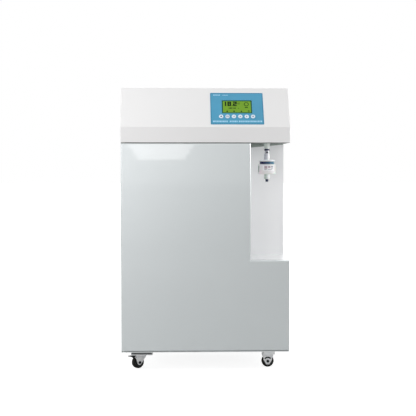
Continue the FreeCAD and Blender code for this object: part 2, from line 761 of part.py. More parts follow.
def make_door_bushes():
    bushes = []
    for z, inward in bush_ends():
        # The collar fills the seam, but for the gap that lets it turn on the pan or under the head.
        collar_end = z - inward * (DOOR_SEAM - TOUCH)
        barrel_end = z + inward * BUSH_LENGTH
        bore_start = (PIVOT_X, PIVOT_Y, collar_end - inward * PAST)
        bore_end = (PIVOT_X, PIVOT_Y, barrel_end + inward * PAST)
        edge = (PIVOT_X, PIVOT_Y, z)
        collar = rod(PIN_RADIUS + BUSH_WALL + BUSH_COLLAR, (PIVOT_X, PIVOT_Y, collar_end), edge)
        barrel = rod(PIN_RADIUS + BUSH_WALL, edge, (PIVOT_X, PIVOT_Y, barrel_end))
        bore = rod(PIN_RADIUS + FIT, bore_start, bore_end)
        bushes.append(joined([collar, barrel]).cut(bore))
    return bushes


def make_door_pivot_pins():
    top = rod(PIN_RADIUS, (PIVOT_X, PIVOT_Y, BODY_TOP - PIN_REACH + HEAD_SEAM), (PIVOT_X, PIVOT_Y, HEAD_Z))
    low = rod(PIN_RADIUS, (PIVOT_X, PIVOT_Y, PAN_Z), (PIVOT_X, PIVOT_Y, PAN_TOP + PIN_REACH - PAN_SHEET))
    return top, low


def make_door_magnets():
    """Two magnet blocks on the recess-side upright, just short of the closed door's lip."""
    right = LINER_LEFT
    magnets = []
    for low in (NICHE_FLOOR_Z + MAGNET_LOW_UP, DOOR_TOP - MAGNET_HIGH_DOWN - MAGNET_HEIGHT):
        magnets.append(
            box((right - MAGNET_WIDTH, right), (DOOR_BACK + MAGNET_GAP, POST_Y), (low, low + MAGNET_HEIGHT))
        )
    return magnets


# ---------------------------------------------------------------- dispensing outlet
def make_outlet():
    """The stack that hangs over the recess, from the lock nut above the head floor to the tip."""
    level = BODY_TOP

    def step(height):
        nonlocal level
        top = (OUTLET_X, OUTLET_Y, level)
        level -= height
        return top, (OUTLET_X, OUTLET_Y, level)

    above = (OUTLET_X, OUTLET_Y, HEAD_Z + LOCKNUT_HEIGHT + PORT_LENGTH)
    locknut = rod(LOCKNUT_RADIUS, (OUTLET_X, OUTLET_Y, HEAD_Z), (OUTLET_X, OUTLET_Y, HEAD_Z + LOCKNUT_HEIGHT))
    thread = rod(THREAD_RADIUS, (OUTLET_X, OUTLET_Y, BODY_TOP), above)
    top, low = step(NUT_HEIGHT)
    nut = tapered_rod(NUT_TOP_RADIUS, NUT_LOW_RADIUS, top, low)
    top, low = step(STEM_HEIGHT)
    stem = rod(STEM_RADIUS, top, low)
    save("outlet_fitting", joined([locknut, thread, nut, stem]))

    top, low = step(RING_HEIGHT)
    ring = rim_rounded(rod(RING_RADIUS, top, low), RING_EDGE, "z", low[2])
    save("outlet_ring", ring)

    top, low = step(COUPLER_HEIGHT)
    coupler = rod(COUPLER_RADIUS, top, low)
    button_z = (top[2] + low[2]) / 2
    mouth_y = OUTLET_Y - COUPLER_RADIUS
    pocket_y = mouth_y + BUTTON_POCKET
    pocket = rod(BUTTON_RADIUS + FIT, (OUTLET_X, mouth_y - PAST, button_z), (OUTLET_X, pocket_y, button_z))
    face_y = mouth_y - BUTTON_PROUD
    button_end = (OUTLET_X, pocket_y - BUTTON_TRAVEL - TOUCH, button_z)
    button = rod(BUTTON_RADIUS, (OUTLET_X, face_y, button_z), button_end)
    save("outlet_button", rim_rounded(button, HEAD_EDGE, "y", face_y))
    top, low = step(SLEEVE_HEIGHT)
    sleeve = rod(SLEEVE_RADIUS, top, low)
    save("outlet_connector", joined([coupler, sleeve]).cut(pocket))

    top, low = step(CAP_HEIGHT)
    cap = rim_rounded(rod(CAP_RADIUS, top, low), OUTLET_EDGE, "z", top[2])
    save("filter_cap", cap)

    top, low = step(BAND_RING_HEIGHT)
    save("filter_ring", rod(BAND_RADIUS, top, low))

    top, low = step(SHELL_HEIGHT)
    shell_top = top[2]
    shell = rim_rounded(rod(SHELL_RADIUS, top, low), SHELL_EDGE, "z", low[2])
    inner_low = low[2] + SHELL_WALL
    inside = rod(SHELL_RADIUS - SHELL_WALL, (OUTLET_X, OUTLET_Y, shell_top), (OUTLET_X, OUTLET_Y, inner_low))
    inside = rim_rounded(inside, SHELL_EDGE - SHELL_WALL, "z", inner_low)
    save("filter_shell", shell.cut(inside))
    save("filter_core", make_pleats(shell_top, inner_low))

    top, low = step(NECK_HEIGHT)
    neck = rim_rounded(rod(NECK_RADIUS, top, low), OUTLET_EDGE, "z", low[2])
    top, low = step(TIP_HEIGHT)
    tip = tapered_rod(TIP_RADIUS, TIP_RADIUS - TIP_TAPER, top, low)
    bore = rod(TIP_BORE, (OUTLET_X, OUTLET_Y, low[2] - PAST), top)
    save("filter_nozzle", joined([neck, tip]).cut(bore))


def make_pleats(top, low):
    """The folded membrane: a star-shaped prism that stands in the shell."""
    outer = SHELL_RADIUS - SHELL_WALL - CORE_GAP
    inner = outer - CORE_FOLD
    points = []
    for number in range(2 * CORE_FOLDS):
        radius = outer if number % 2 == 0 else inner
        angle = math.pi * number / CORE_FOLDS
        points.append((OUTLET_X + radius * math.cos(angle), OUTLET_Y + radius * math.sin(angle), low))
    return prism(points, (0, 0, top - low))


# ---------------------------------------------------------------- castors
def plate_sizes():
    """For the left and the right castors: the middle in x, and the plate's width and depth."""
    return (
        (CASTOR_X[0], SWIVEL_PLATE_WIDTH, SWIVEL_PLATE_DEPTH),
        (CASTOR_X[1], RIGID_PLATE_WIDTH, RIGID_PLATE_DEPTH),
    )


def bolt_places():
    """Where the castor plates' bolts stand: four to each plate."""
    places = []
    for x, width, depth in plate_sizes():
        across = width / 2 - BOLT_MARGIN
        along = depth / 2 - BOLT_MARGIN
        for y in CASTOR_Y:
            places += [(x + side * across, y + end * along) for side in (-1, 1) for end in (-1, 1)]
    return places


def castor_plate(x, y, width, depth):
    corners = ((x - width / 2, x + width / 2), (y - depth / 2, y + depth / 2))
    plate = box(corners[0], corners[1], (CASTOR_PLATE_LOW, CASTOR_HEIGHT))
    return plate.makeFillet(BOLT_MARGIN / 2, edges_where(plate, lambda edge: straight(edge, "z")))


def bolt_holes():
    ends = (CASTOR_PLATE_LOW - PAST, CASTOR_HEIGHT + PAST)
    return [rod(BOLT_RADIUS, (x, y, ends[0]), (x, y, ends[1])) for x, y in bolt_places()]


def make_castor_plates():
    """The two swivel plates, each with the king pin that its fork turns on."""
    x, width, depth = plate_sizes()[0]
    crown_low = CROWN_TOP - FORK_SHEET - TOUCH
    plates = []
    for y in CASTOR_Y:
        pin = rod(KING_PIN_RADIUS, (x, y, crown_low), (x, y, CASTOR_PLATE_LOW))
        head = rod(KING_HEAD_RADIUS, (x, y, crown_low - KING_HEAD_HEIGHT), (x, y, crown_low))
        plates.append(joined([castor_plate(x, y, width, depth), pin, head]).cut(bolt_holes()))
    return plates


def make_castor_bolts():
    head_low = CASTOR_PLATE_LOW - BOLT_HEAD_HEIGHT
    bolts = []
    for x, y in bolt_places():
        head = rod(BOLT_HEAD_RADIUS, (x, y, head_low), (x, y, CASTOR_PLATE_LOW))
        head = rim_rounded(head, HEAD_EDGE, "z", head_low)
        shank = rod(BOLT_RADIUS, (x, y, CASTOR_PLATE_LOW), (x, y, CASTOR_HEIGHT + BOLT_TAIL))
        bolts.append(joined([head, shank]))
    return bolts


def leg_pair(outline, extra):
    """Two fork legs from a (u, z) outline, one each side of the wheel, with round pieces added."""
    legs = []
    for side in (-1, 1):
        near = side * (HUB_WIDTH / 2 + TOUCH)
        far = near + side * FORK_SHEET
        leg = front_prism(outline, (near, far))
        rounds = [rod(radius, (u, near, z), (u, far, z)) for u, z, radius in extra]
        legs.append(joined([leg] + rounds))
    return legs


def swivel_fork():
    """The fork in its own frame: the swivel axis at the origin and the trail along +x."""
    pedal_u = CASTOR_TRAIL + PEDAL_AHEAD
    pedal_z = WHEEL_RADIUS + PEDAL_ABOVE
    shoulder = CASTOR_TRAIL + AXLE_BOSS / 2
    legs = leg_pair(
        [
            (-CROWN_RADIUS + FORK_SHEET, CROWN_TOP),
            (shoulder, CROWN_TOP),
            (pedal_u, pedal_z + PEDAL_EAR),
            (pedal_u, pedal_z - PEDAL_EAR),
            (CASTOR_TRAIL + AXLE_BOSS, WHEEL_RADIUS),
            (CASTOR_TRAIL - HEEL_BACK, WHEEL_RADIUS - HEEL_DOWN),
        ],
        [(CASTOR_TRAIL, WHEEL_RADIUS, AXLE_BOSS), (pedal_u, pedal_z, PEDAL_EAR)],
    )
    outside = HUB_WIDTH / 2 + TOUCH + FORK_SHEET
    crown_z = (CROWN_TOP - FORK_SHEET, CROWN_TOP)
    disc = rod(CROWN_RADIUS, (0, 0, crown_z[0]), (0, 0, crown_z[1]))
    bridge = box((-CROWN_RADIUS + FORK_SHEET, shoulder), (-outside, outside), crown_z)
    fork = joined(legs + [disc, bridge])
    holes = [rod(KING_PIN_RADIUS + FIT, (0, 0, crown_z[0] - PAST), (0, 0, crown_z[1] + PAST))]
    across = outside + PAST
    for radius, u, z in ((AXLE_RADIUS, CASTOR_TRAIL, WHEEL_RADIUS), (PEDAL_PIN_RADIUS, pedal_u, pedal_z)):
        holes.append(rod(radius, (u, -across, z), (u, across, z)))
    return fork.cut(holes)


def axle_bolt(u):
    """An axle bolt across a fork, with its head at one side and its nut at the other."""
    outside = HUB_WIDTH / 2 + TOUCH + FORK_SHEET
    parts = [rod(AXLE_RADIUS, (u, -outside, WHEEL_RADIUS), (u, outside, WHEEL_RADIUS))]
    for side in (-1, 1):
        end = side * (outside + AXLE_HEAD_HEIGHT)
        parts.append(rod(AXLE_HEAD_RADIUS, (u, side * outside, WHEEL_RADIUS), (u, end, WHEEL_RADIUS)))
    return joined(parts)


def pedal_pin():
    outside = HUB_WIDTH / 2 + TOUCH + FORK_SHEET
    u = CASTOR_TRAIL + PEDAL_AHEAD
    z = WHEEL_RADIUS + PEDAL_ABOVE
    return rod(PEDAL_PIN_RADIUS, (u, -outside, z), (u, outside, z))


def brake_pedal():
    """The pedal: a barrel on its pin, a cam that closes on the tyre, and a pad with two points."""
    u = CASTOR_TRAIL + PEDAL_AHEAD
    z = WHEEL_RADIUS + PEDAL_ABOVE
    half = HUB_WIDTH / 2
    barrel = rod(PEDAL_BARREL, (u, -half, z), (u, half, z))
    # The cam points at the axle once the pedal is down, and then stays clear of the tyre.
    toward_axle = math.atan2(-PEDAL_ABOVE, -PEDAL_AHEAD)
    cam_angle = toward_axle + math.radians(PEDAL_SWING_DEG)
    cam_reach = math.hypot(PEDAL_AHEAD, PEDAL_ABOVE) - WHEEL_RADIUS - TOUCH
    cam_u = u + (cam_reach - PEDAL_CAM) * math.cos(cam_angle)
    cam_z = z + (cam_reach - PEDAL_CAM) * math.sin(cam_angle)
    cam = rod(PEDAL_CAM, (cam_u, -half, cam_z), (cam_u, half, cam_z))
    pad_half = half + FORK_SHEET + PEDAL_OVERHANG
    root_u = u + PEDAL_EAR + TOUCH
    end_u = u + PEDAL_REACH
    notch_u = end_u - PEDAL_OVERHANG
    pad = prism(
        [
            (u, -half, z),
            (root_u, -half, z),
            (root_u, PEDAL_SPLAY - pad_half, z),
            (end_u, -pad_half, z),
            (notch_u, 0, z),
            (end_u, pad_half, z),
            (root_u, pad_half - PEDAL_SPLAY, z),
            (root_u, half, z),
            (u, half, z),
        ],
        (0, 0, PEDAL_SHEET),
    )
    bore = rod(PEDAL_PIN_RADIUS + FIT, (u, -half - PAST, z), (u, half + PAST, z))
    return joined([barrel, cam, pad]).cut(bore)


def castor_wheel(u):
    """A wheel's centre and its tyre, on an axle across the fork at u."""
    rim = WHEEL_RADIUS - TYRE_THICKNESS
    half_tyre = TYRE_WIDTH / 2
    half_hub = HUB_WIDTH / 2

    def across(radius, half):
        return rod(radius, (u, -half, WHEEL_RADIUS), (u, half, WHEEL_RADIUS))

    centre = joined([across(rim, half_tyre - RIM_INSET), across(HUB_RADIUS, half_hub)])
    tyre = across(WHEEL_RADIUS, half_tyre)
    tyre = rim_rounded(rim_rounded(tyre, TYRE_EDGE, "y", -half_tyre), TYRE_EDGE, "y", half_tyre)
    bore = across(AXLE_RADIUS + FIT, half_hub + PAST)
    seat = across(rim, half_tyre + PAST)
    return centre.cut(bore), tyre.cut(seat)


def rigid_fork():
    """A fork that doesn't swivel: its five-sided legs hang from a band, with an arched slot between."""
    right = [
        (RIGID_HALF, CASTOR_PLATE_LOW),
        (RIGID_HALF, WHEEL_RADIUS + RIGID_BAND_UP),
        (RIGID_WAIST_HALF, WHEEL_RADIUS + RIGID_WAIST_UP),
        (RIGID_CHEEK_HALF, WHEEL_RADIUS + RIGID_CHEEK_UP),
        (RIGID_TOE_HALF, WHEEL_RADIUS - RIGID_TOE_DOWN),
    ]
    left = [(-u, z) for u, z in reversed(right)]
    legs = leg_pair(right + left, [])
    outside = HUB_WIDTH / 2 + TOUCH + FORK_SHEET
    bridge_z = (CASTOR_PLATE_LOW - FORK_SHEET, CASTOR_PLATE_LOW)
    bridge = box((-RIGID_HALF, RIGID_HALF), (-outside, outside), bridge_z)
    start = (0, -outside - PAST, WHEEL_RADIUS)
    end = (0, outside + PAST, WHEEL_RADIUS)
    arch = rod(RIGID_SLOT_OUTER, start, end).cut(rod(RIGID_SLOT_INNER, start, end))
    # Only the top of the ring is a slot, to one angle each side of upright.
    rise = 2 * WHEEL_RADIUS
    reach = rise * math.tan(math.radians(RIGID_SLOT_HALF_DEG))
    corners = [(0, WHEEL_RADIUS), (-reach, WHEEL_RADIUS + rise), (reach, WHEEL_RADIUS + rise)]
    wedge = front_prism(corners, (start[1], end[1]))
    return joined(legs + [bridge]).cut([arch.common(wedge), rod(AXLE_RADIUS, start, end)])


def make_rigid_forks():
    """Each rigid fork is one pressing with its plate."""
    x, width, depth = plate_sizes()[1]
    forks = []
    for y in CASTOR_Y:
        whole = joined([placed(rigid_fork(), x, y, 0), castor_plate(x, y, width, depth)])
        forks.append(whole.cut(bolt_holes()))
    return forks


def placed(solid, x, y, turn_deg):
    moved = solid.copy()
    turn = FreeCAD.Rotation(Vector(0, 0, 1), turn_deg)
    moved.transformShape(FreeCAD.Placement(Vector(x, y, 0), turn).toMatrix())
    return moved


def make_castors():
    save("castor_plates", *make_castor_plates())
    swivels = (("front", CASTOR_Y[0], FRONT_SWIVEL_DEG), ("rear", CASTOR_Y[1], REAR_SWIVEL_DEG))
    for end, y, turn in swivels:
        save("swivel_fork_" + end, placed(swivel_fork(), CASTOR_X[0], y, turn))
        pins = [placed(pin, CASTOR_X[0], y, turn) for pin in (axle_bolt(CASTOR_TRAIL), pedal_pin())]
        save("swivel_axle_" + end, *pins)
        save("brake_pedal_" + end, placed(brake_pedal(), CASTOR_X[0], y, turn))
        wheel = [placed(solid, CASTOR_X[0], y, turn) for solid in castor_wheel(CASTOR_TRAIL)]
        save("wheel_" + end + "_left", *wheel)
    for end, y in (("front", CASTOR_Y[0]), ("rear", CASTOR_Y[1])):
        wheel = [placed(solid, CASTOR_X[1], y, 0) for solid in castor_wheel(0)]
        save("wheel_" + end + "_right", *wheel)
    save("rigid_forks", *make_rigid_forks())
    save("rigid_axles", *[placed(axle_bolt(0), CASTOR_X[1], y, 0) for y in CASTOR_Y])


# ---------------------------------------------------------------- water treatment
def make_prefilters():
    """Three heads on the mounting plate, linked in a row, each with a bowl screwed in from below."""
    top = FILTER_HEAD_TOP
    low = top - FILTER_HEAD_HEIGHT
    half = FILTER_HEAD_SIZE / 2
    heads = []
    bowls = []
    for number, x in enumerate(FILTER_X):
        head = box((x - half, x + half), (FILTER_Y - half, FILTER_Y + half), (low, top))
        head = head.makeFillet(PUMP_EDGE, edges_where(head, lambda edge: straight(edge, "z")))
        bracket = box((x - half / 2, x + half / 2), (FILTER_Y + half, PLATE_Y), (low, top))
        parts = [head, bracket]
        if number + 1 < FILTER_COUNT:
            z = (low + top) / 2
            next_x = FILTER_X[number + 1] - half
            parts.append(rod(NIPPLE_RADIUS, (x + half, FILTER_Y, z), (next_x, FILTER_Y, z)))
        heads.append(joined(parts))
        bowl = rod(half - BOWL_INSET, (x, FILTER_Y, BOWL_LOW), (x, FILTER_Y, low))
        bowls.append(rim_rounded(bowl, BOWL_EDGE, "z", BOWL_LOW))
    save("prefilter_heads", *heads)
    save("prefilter_bowls", *bowls)


def tube_clip(radius, centre, axis):
    """A ring clip round a tube-shaped unit, with a foot on the mounting plate."""
    x, y, z = centre
    half = CLIP_WIDTH / 2
    offset = (half, 0, 0) if axis == "x" else (0, 0, half)
    start = (x - offset[0], y, z - offset[2])
    end = (x + offset[0], y, z + offset[2])
    outer = rod(radius + CLIP_WALL, start, end)
    foot_half = CLIP_FOOT / 2
    if axis == "x":
        foot = box((x - half, x + half), (y, PLATE_Y), (z - foot_half, z + foot_half))
    else:
        foot = box((x - foot_half, x + foot_half), (y, PLATE_Y), (z - half, z + half))
    return joined([outer, foot]).cut(rod(radius, start, end))


def make_lying_unit(radius, length, y, z):
    """A tube-shaped unit that lies across the front bay, with a port at its right end."""
    barrel = rod(radius, (UNIT_LEFT, y, z), (UNIT_LEFT + length, y, z))
    for x in (UNIT_LEFT, UNIT_LEFT + length):
        barrel = rim_rounded(barrel, PUMP_EDGE, "x", x)
    port = rod(PORT_RADIUS, (UNIT_LEFT + length, y, z), (UNIT_LEFT + length + PORT_LENGTH, y, z))
    return joined([barrel, port])


def make_treatment():
    clips = []
    polishers = []
    for x in POLISHER_X:
        barrel = rod(POLISHER_RADIUS, (x, POLISHER_Y, POLISHER_LOW), (x, POLISHER_Y, POLISHER_TOP))
        for z in (POLISHER_LOW, POLISHER_TOP):
            barrel = rim_rounded(barrel, POLISHER_EDGE, "z", z)
        ports = [
            rod(PORT_RADIUS, (x, POLISHER_Y, POLISHER_TOP), (x, POLISHER_Y, POLISHER_TOP + PORT_LENGTH)),
            rod(PORT_RADIUS, (x, POLISHER_Y, POLISHER_LOW - PORT_LENGTH), (x, POLISHER_Y, POLISHER_LOW)),
        ]
        polishers.append(joined([barrel] + ports))
        for z in (POLISHER_LOW + CLIP_INSET, POLISHER_TOP - CLIP_INSET):
            clips.append(tube_clip(POLISHER_RADIUS, (x, POLISHER_Y, z), "z"))
    save("polishing_cartridges", *polishers)

    housings = [make_lying_unit(MEMBRANE_RADIUS, MEMBRANE_LENGTH, MEMBRANE_Y, z) for z in MEMBRANE_Z]
    link_x = UNIT_LEFT + 2 * NIPPLE_RADIUS
    link = rod(PORT_RADIUS, (link_x, MEMBRANE_Y, MEMBRANE_Z[0]), (link_x, MEMBRANE_Y, MEMBRANE_Z[1]))
    link = link.cut(housings)
    reject = rod(PORT_RADIUS, (REJECT_PORT_X, MEMBRANE_Y, PORT_Z), (REJECT_PORT_X, PLATE_Y, PORT_Z))
    housings[0] = joined([housings[0], link, reject])
    save("membrane_housings", *housings)
    save("uv_reactor", make_lying_unit(REACTOR_RADIUS, REACTOR_LENGTH, REACTOR_Y, REACTOR_Z))
    for z, radius, y, length in (
        (MEMBRANE_Z[0], MEMBRANE_RADIUS, MEMBRANE_Y, MEMBRANE_LENGTH),
        (MEMBRANE_Z[1], MEMBRANE_RADIUS, MEMBRANE_Y, MEMBRANE_LENGTH),
        (REACTOR_Z, REACTOR_RADIUS, REACTOR_Y, REACTOR_LENGTH),
    ):
        for x in (UNIT_LEFT + CLIP_INSET, UNIT_LEFT + length - 2 * CLIP_INSET):
            clips.append(tube_clip(radius, (x, y, z), "x"))
    save("unit_clips", *clips)


def make_pump(head_x, toward_motor, y, z, motor_radius, head_radius):
    """A pump lying along X: its head, its motor, and a foot down to the pan."""
    head_end = head_x + toward_motor * PUMP_HEAD_LENGTH
    motor_end = head_end + toward_motor * PUMP_MOTOR_LENGTH
    head = rod(head_radius, (head_x, y, z), (head_end, y, z))
    motor = rim_rounded(rod(motor_radius, (head_end, y, z), (motor_end, y, z)), PUMP_EDGE, "x", motor_end)
    port_x = head_x - toward_motor * PORT_LENGTH
    inlet = rod(PORT_RADIUS, (port_x, y, z), (head_x, y, z))
    inset = toward_motor * PUMP_EDGE
    foot_x = sorted((head_end + inset, motor_end - inset))
    foot_half = PUMP_FOOT_WIDTH / 2
    foot = box(foot_x, (y - foot_half, y + foot_half), (PAN_TOP, z))
    return joined([head, motor, inlet, foot])


def make_pumps():
    booster = make_pump(BOOSTER_X, 1, BOOSTER_Y, PORT_Z, PUMP_MOTOR_RADIUS, PUMP_HEAD_RADIUS)
    outlet_x = BOOSTER_X + PUMP_HEAD_LENGTH / 2
    outlet_y = BOOSTER_Y + PUMP_HEAD_RADIUS
    start = (outlet_x, BOOSTER_Y, PORT_Z)
    booster = joined([booster, rod(PORT_RADIUS, start, (outlet_x, outlet_y + PORT_LENGTH, PORT_Z))])
    radius = CIRCULATOR_RADIUS
    circulator = make_pump(CIRCULATOR_X, -1, CIRCULATOR_Y, PORT_Z, radius, radius - PUMP_EDGE)
    outlet_x = CIRCULATOR_X - PUMP_HEAD_LENGTH / 2
    start = (outlet_x, CIRCULATOR_Y, PORT_Z)
    end = (outlet_x, CIRCULATOR_Y, PORT_Z + radius - PUMP_EDGE + PORT_LENGTH)
    save("water_pumps", booster, joined([circulator, rod(PORT_RADIUS, start, end)]))


def make_valves_and_cells():
    """Solenoid valves and conductivity cells on the back of the mounting plate."""
    valves = []
    half = VALVE_SIZE / 2
    coil = VALVE_COIL / 2
    mid_y = PLATE_BACK + VALVE_DEPTH / 2
    back_y = PLATE_BACK + VALVE_DEPTH
    for x, z in ((FILTER_X[0], FEED_VALVE_Z), (REJECT_PORT_X, PORT_Z)):
        body = box((x - half, x + half), (PLATE_BACK, back_y), (z - half, z + half))
        body = body.makeFillet(PUMP_EDGE / 2, edges_where(body, lambda edge: straight(edge, "y")))
        parts = [body, rod(PORT_RADIUS, (x, back_y, z), (x, back_y + PORT_LENGTH, z))]
        if z == FEED_VALVE_Z:
            parts.append(rod(PORT_RADIUS, (x, mid_y, z + half), (x, mid_y, z + half + PORT_LENGTH)))
            coil_z = (z - half - VALVE_COIL_DEPTH, z - half)
            parts.append(box((x - coil, x + coil), (mid_y - coil, mid_y + coil), coil_z))
        valves.append(joined(parts))
    save("solenoid_valves", *valves)

    x = POLISHER_X[0]
    top = CELL_Z + CELL_HEIGHT
    riser_cell = box((x - CELL_HALF, x + CELL_HALF), (PLATE_BACK, RISER_Y + CELL_HALF), (CELL_Z, top))
    riser_cell = riser_cell.cut(rod(TUBE_RADIUS, (x, RISER_Y, CELL_Z - PAST), (x, RISER_Y, top + PAST)))
    x = PERMEATE_PORT_X
    back_y = PLATE_BACK + CELL_HEIGHT
    cell_z = (PORT_Z - CELL_HALF, PORT_Z + CELL_HALF)
    permeate_cell = box((x - CELL_HALF, x + CELL_HALF), (PLATE_BACK, back_y), cell_z)
    permeate_cell = permeate_cell.cut(
        rod(TUBE_RADIUS, (x, PLATE_BACK - PAST, PORT_Z), (x, back_y + PAST, PORT_Z))
    )
    save("conductivity_cells", riser_cell, permeate_cell)


def make_power_supply():
    top = BODY_TOP - SUPPLY_DROP
    left = -INNER + SUPPLY_LEFT
    supply_y = (PLATE_BACK, PLATE_BACK + SUPPLY_DEPTH)
    supply = box((left, left + SUPPLY_WIDTH), supply_y, (top - SUPPLY_HEIGHT, top))
    return supply.makeFillet(SUPPLY_EDGE, edges_where(supply, lambda edge: straight(edge, "y")))


def make_main_board():
    top = BODY_TOP - MAIN_BOARD_DROP
    right = INNER - MAIN_BOARD_FROM_RIGHT
    left = right - MAIN_BOARD_WIDTH
    board_y = PLATE_BACK + MAIN_BOARD_STAND
    chip_y = board_y + BOARD_SHEET
    low = top - MAIN_BOARD_HEIGHT
    parts = [box((left, right), (board_y, chip_y), (low, top))]
    for x in (left + BOARD_HALF, right - BOARD_HALF):
        for z in (low + BOARD_HALF, top - BOARD_HALF):
            parts.append(rod(STANDOFF_RADIUS, (x, PLATE_BACK, z), (x, board_y, z)))
    for across, up, width, height, thickness in BOARD_PARTS:
        part_x = (left + across, left + across + width)
        parts.append(box(part_x, (chip_y, chip_y + thickness), (low + up, low + up + height)))
    return joined(parts)


# ---------------------------------------------------------------- rear fittings and tubing
def make_bulkhead_fittings():
    """Push-in tube fittings through the rear panel: feed, tank, reject and permeate."""
    fittings = []
    for x in FITTING_X:
        tail = rod(PORT_RADIUS, (x, REAR_INNER - FITTING_TAIL, FITTING_Z), (x, REAR_INNER, FITTING_Z))
        nut = rod(FITTING_RADIUS, (x, REAR_INNER - FITTING_NUT, FITTING_Z), (x, REAR_INNER, FITTING_Z))
        thread = rod(FITTING_THREAD, (x, REAR_INNER, FITTING_Z), (x, REAR, FITTING_Z))
        end = REAR + REAR_REACH
        collar = rod(FITTING_RADIUS, (x, REAR, FITTING_Z), (x, end, FITTING_Z))
        collar = rim_rounded(collar, FITTING_EDGE, "y", end)
        bore = rod(FITTING_BORE, (x, end - FITTING_BORE_DEPTH, FITTING_Z), (x, end + PAST, FITTING_Z))
        fittings.append(joined([tail, nut, thread, collar]).cut(bore))
    return fittings


def make_power_inlet():
    """A mains inlet: flange, body, three-pin socket, and the pocket that the rocker turns in."""
    width = INLET_FLANGE_WIDTH / 2
    height = INLET_FLANGE_HEIGHT / 2
    face = REAR + INLET_FLANGE_SHEET
    flange = box((INLET_X - width, INLET_X + width), (REAR, face), (INLET_Z - height, INLET_Z + height))
    flange = flange.makeFillet(INLET_FLANGE_CORNER, edges_where(flange, lambda edge: straight(edge, "y")))
    body_x = (INLET_X - INLET_BODY_WIDTH / 2, INLET_X + INLET_BODY_WIDTH / 2)
    body_z = (INLET_Z - INLET_BODY_HEIGHT / 2, INLET_Z + INLET_BODY_HEIGHT / 2)
    body = box(body_x, (face - INLET_BODY_DEPTH, REAR), body_z)

    floor_y = face - SOCKET_DEPTH
    socket_x = (INLET_X - SOCKET_WIDTH / 2, INLET_X + SOCKET_WIDTH / 2)
    socket_z = INLET_Z - SOCKET_DROP
    socket_rows = (socket_z - SOCKET_HEIGHT / 2, socket_z + SOCKET_HEIGHT / 2)
    socket = box(socket_x, (floor_y, face + PAST), socket_rows)
    socket = socket.makeFillet(SOCKET_CORNER, edges_where(socket, lambda edge: straight(edge, "y")))
    pins = []
    for across, rise in ((-PIN_SPACING, 0), (0, PIN_RISE), (PIN_SPACING, 0)):
        pin_x = (INLET_X + across - PIN_WIDTH / 2, INLET_X + across + PIN_WIDTH / 2)
        middle = socket_z + rise + PIN_RISE / 2
        pin_z = (middle - PIN_HEIGHT / 2, middle + PIN_HEIGHT / 2)
        pins.append(box(pin_x, (floor_y, floor_y + PIN_LENGTH), pin_z))

    reach = ROCKER_WIDTH / 2 + TOUCH
    left = (INLET_X - reach, ROCKER_Y, ROCKER_Z)
    right = (INLET_X + reach, ROCKER_Y, ROCKER_Z)
    pocket = rod(ROCKER_HALF + TOUCH, left, right)
    mouth_z = (ROCKER_Z - ROCKER_HALF - TOUCH, ROCKER_Z + ROCKER_HALF + TOUCH)
    mouth = box((left[0], right[0]), (ROCKER_Y, face + PAST), mouth_z)
    axle = rod(ROCKER_PIN_RADIUS, left, right)
    return joined([flange, body]).cut([socket, pocket, mouth]).fuse(pins + [axle]).removeSplitter()


def make_power_rocker():
    """The rocker: a round back that turns in its pocket, and a face with a shallow V."""
    half = ROCKER_WIDTH / 2
    drum = rod(ROCKER_HALF, (INLET_X - half, ROCKER_Y, ROCKER_Z), (INLET_X + half, ROCKER_Y, ROCKER_Z))
    # The face's two ends lie on the drum, and its middle is drawn in.
    end_y = ROCKER_Y + ROCKER_FACE
    end_z = math.sqrt(ROCKER_HALF**2 - ROCKER_FACE**2)
    outline = [
        (end_y - ROCKER_DIP, ROCKER_Z),
        (end_y, ROCKER_Z + end_z),
        (end_y + ROCKER_HALF, ROCKER_Z + end_z),
        (end_y + ROCKER_HALF, ROCKER_Z - end_z),
        (end_y, ROCKER_Z - end_z),
    ]
    left = INLET_X - half - PAST
    right = INLET_X + half + PAST
    dip = side_prism(outline, (left, right))
    bore = rod(ROCKER_PIN_RADIUS + FIT, (left, ROCKER_Y, ROCKER_Z), (right, ROCKER_Y, ROCKER_Z))
    rocker = drum.cut([dip, bore])
    rocker.rotate(Vector(INLET_X, ROCKER_Y, ROCKER_Z), Vector(1, 0, 0), ROCKER_TILT_DEG)
    return rocker


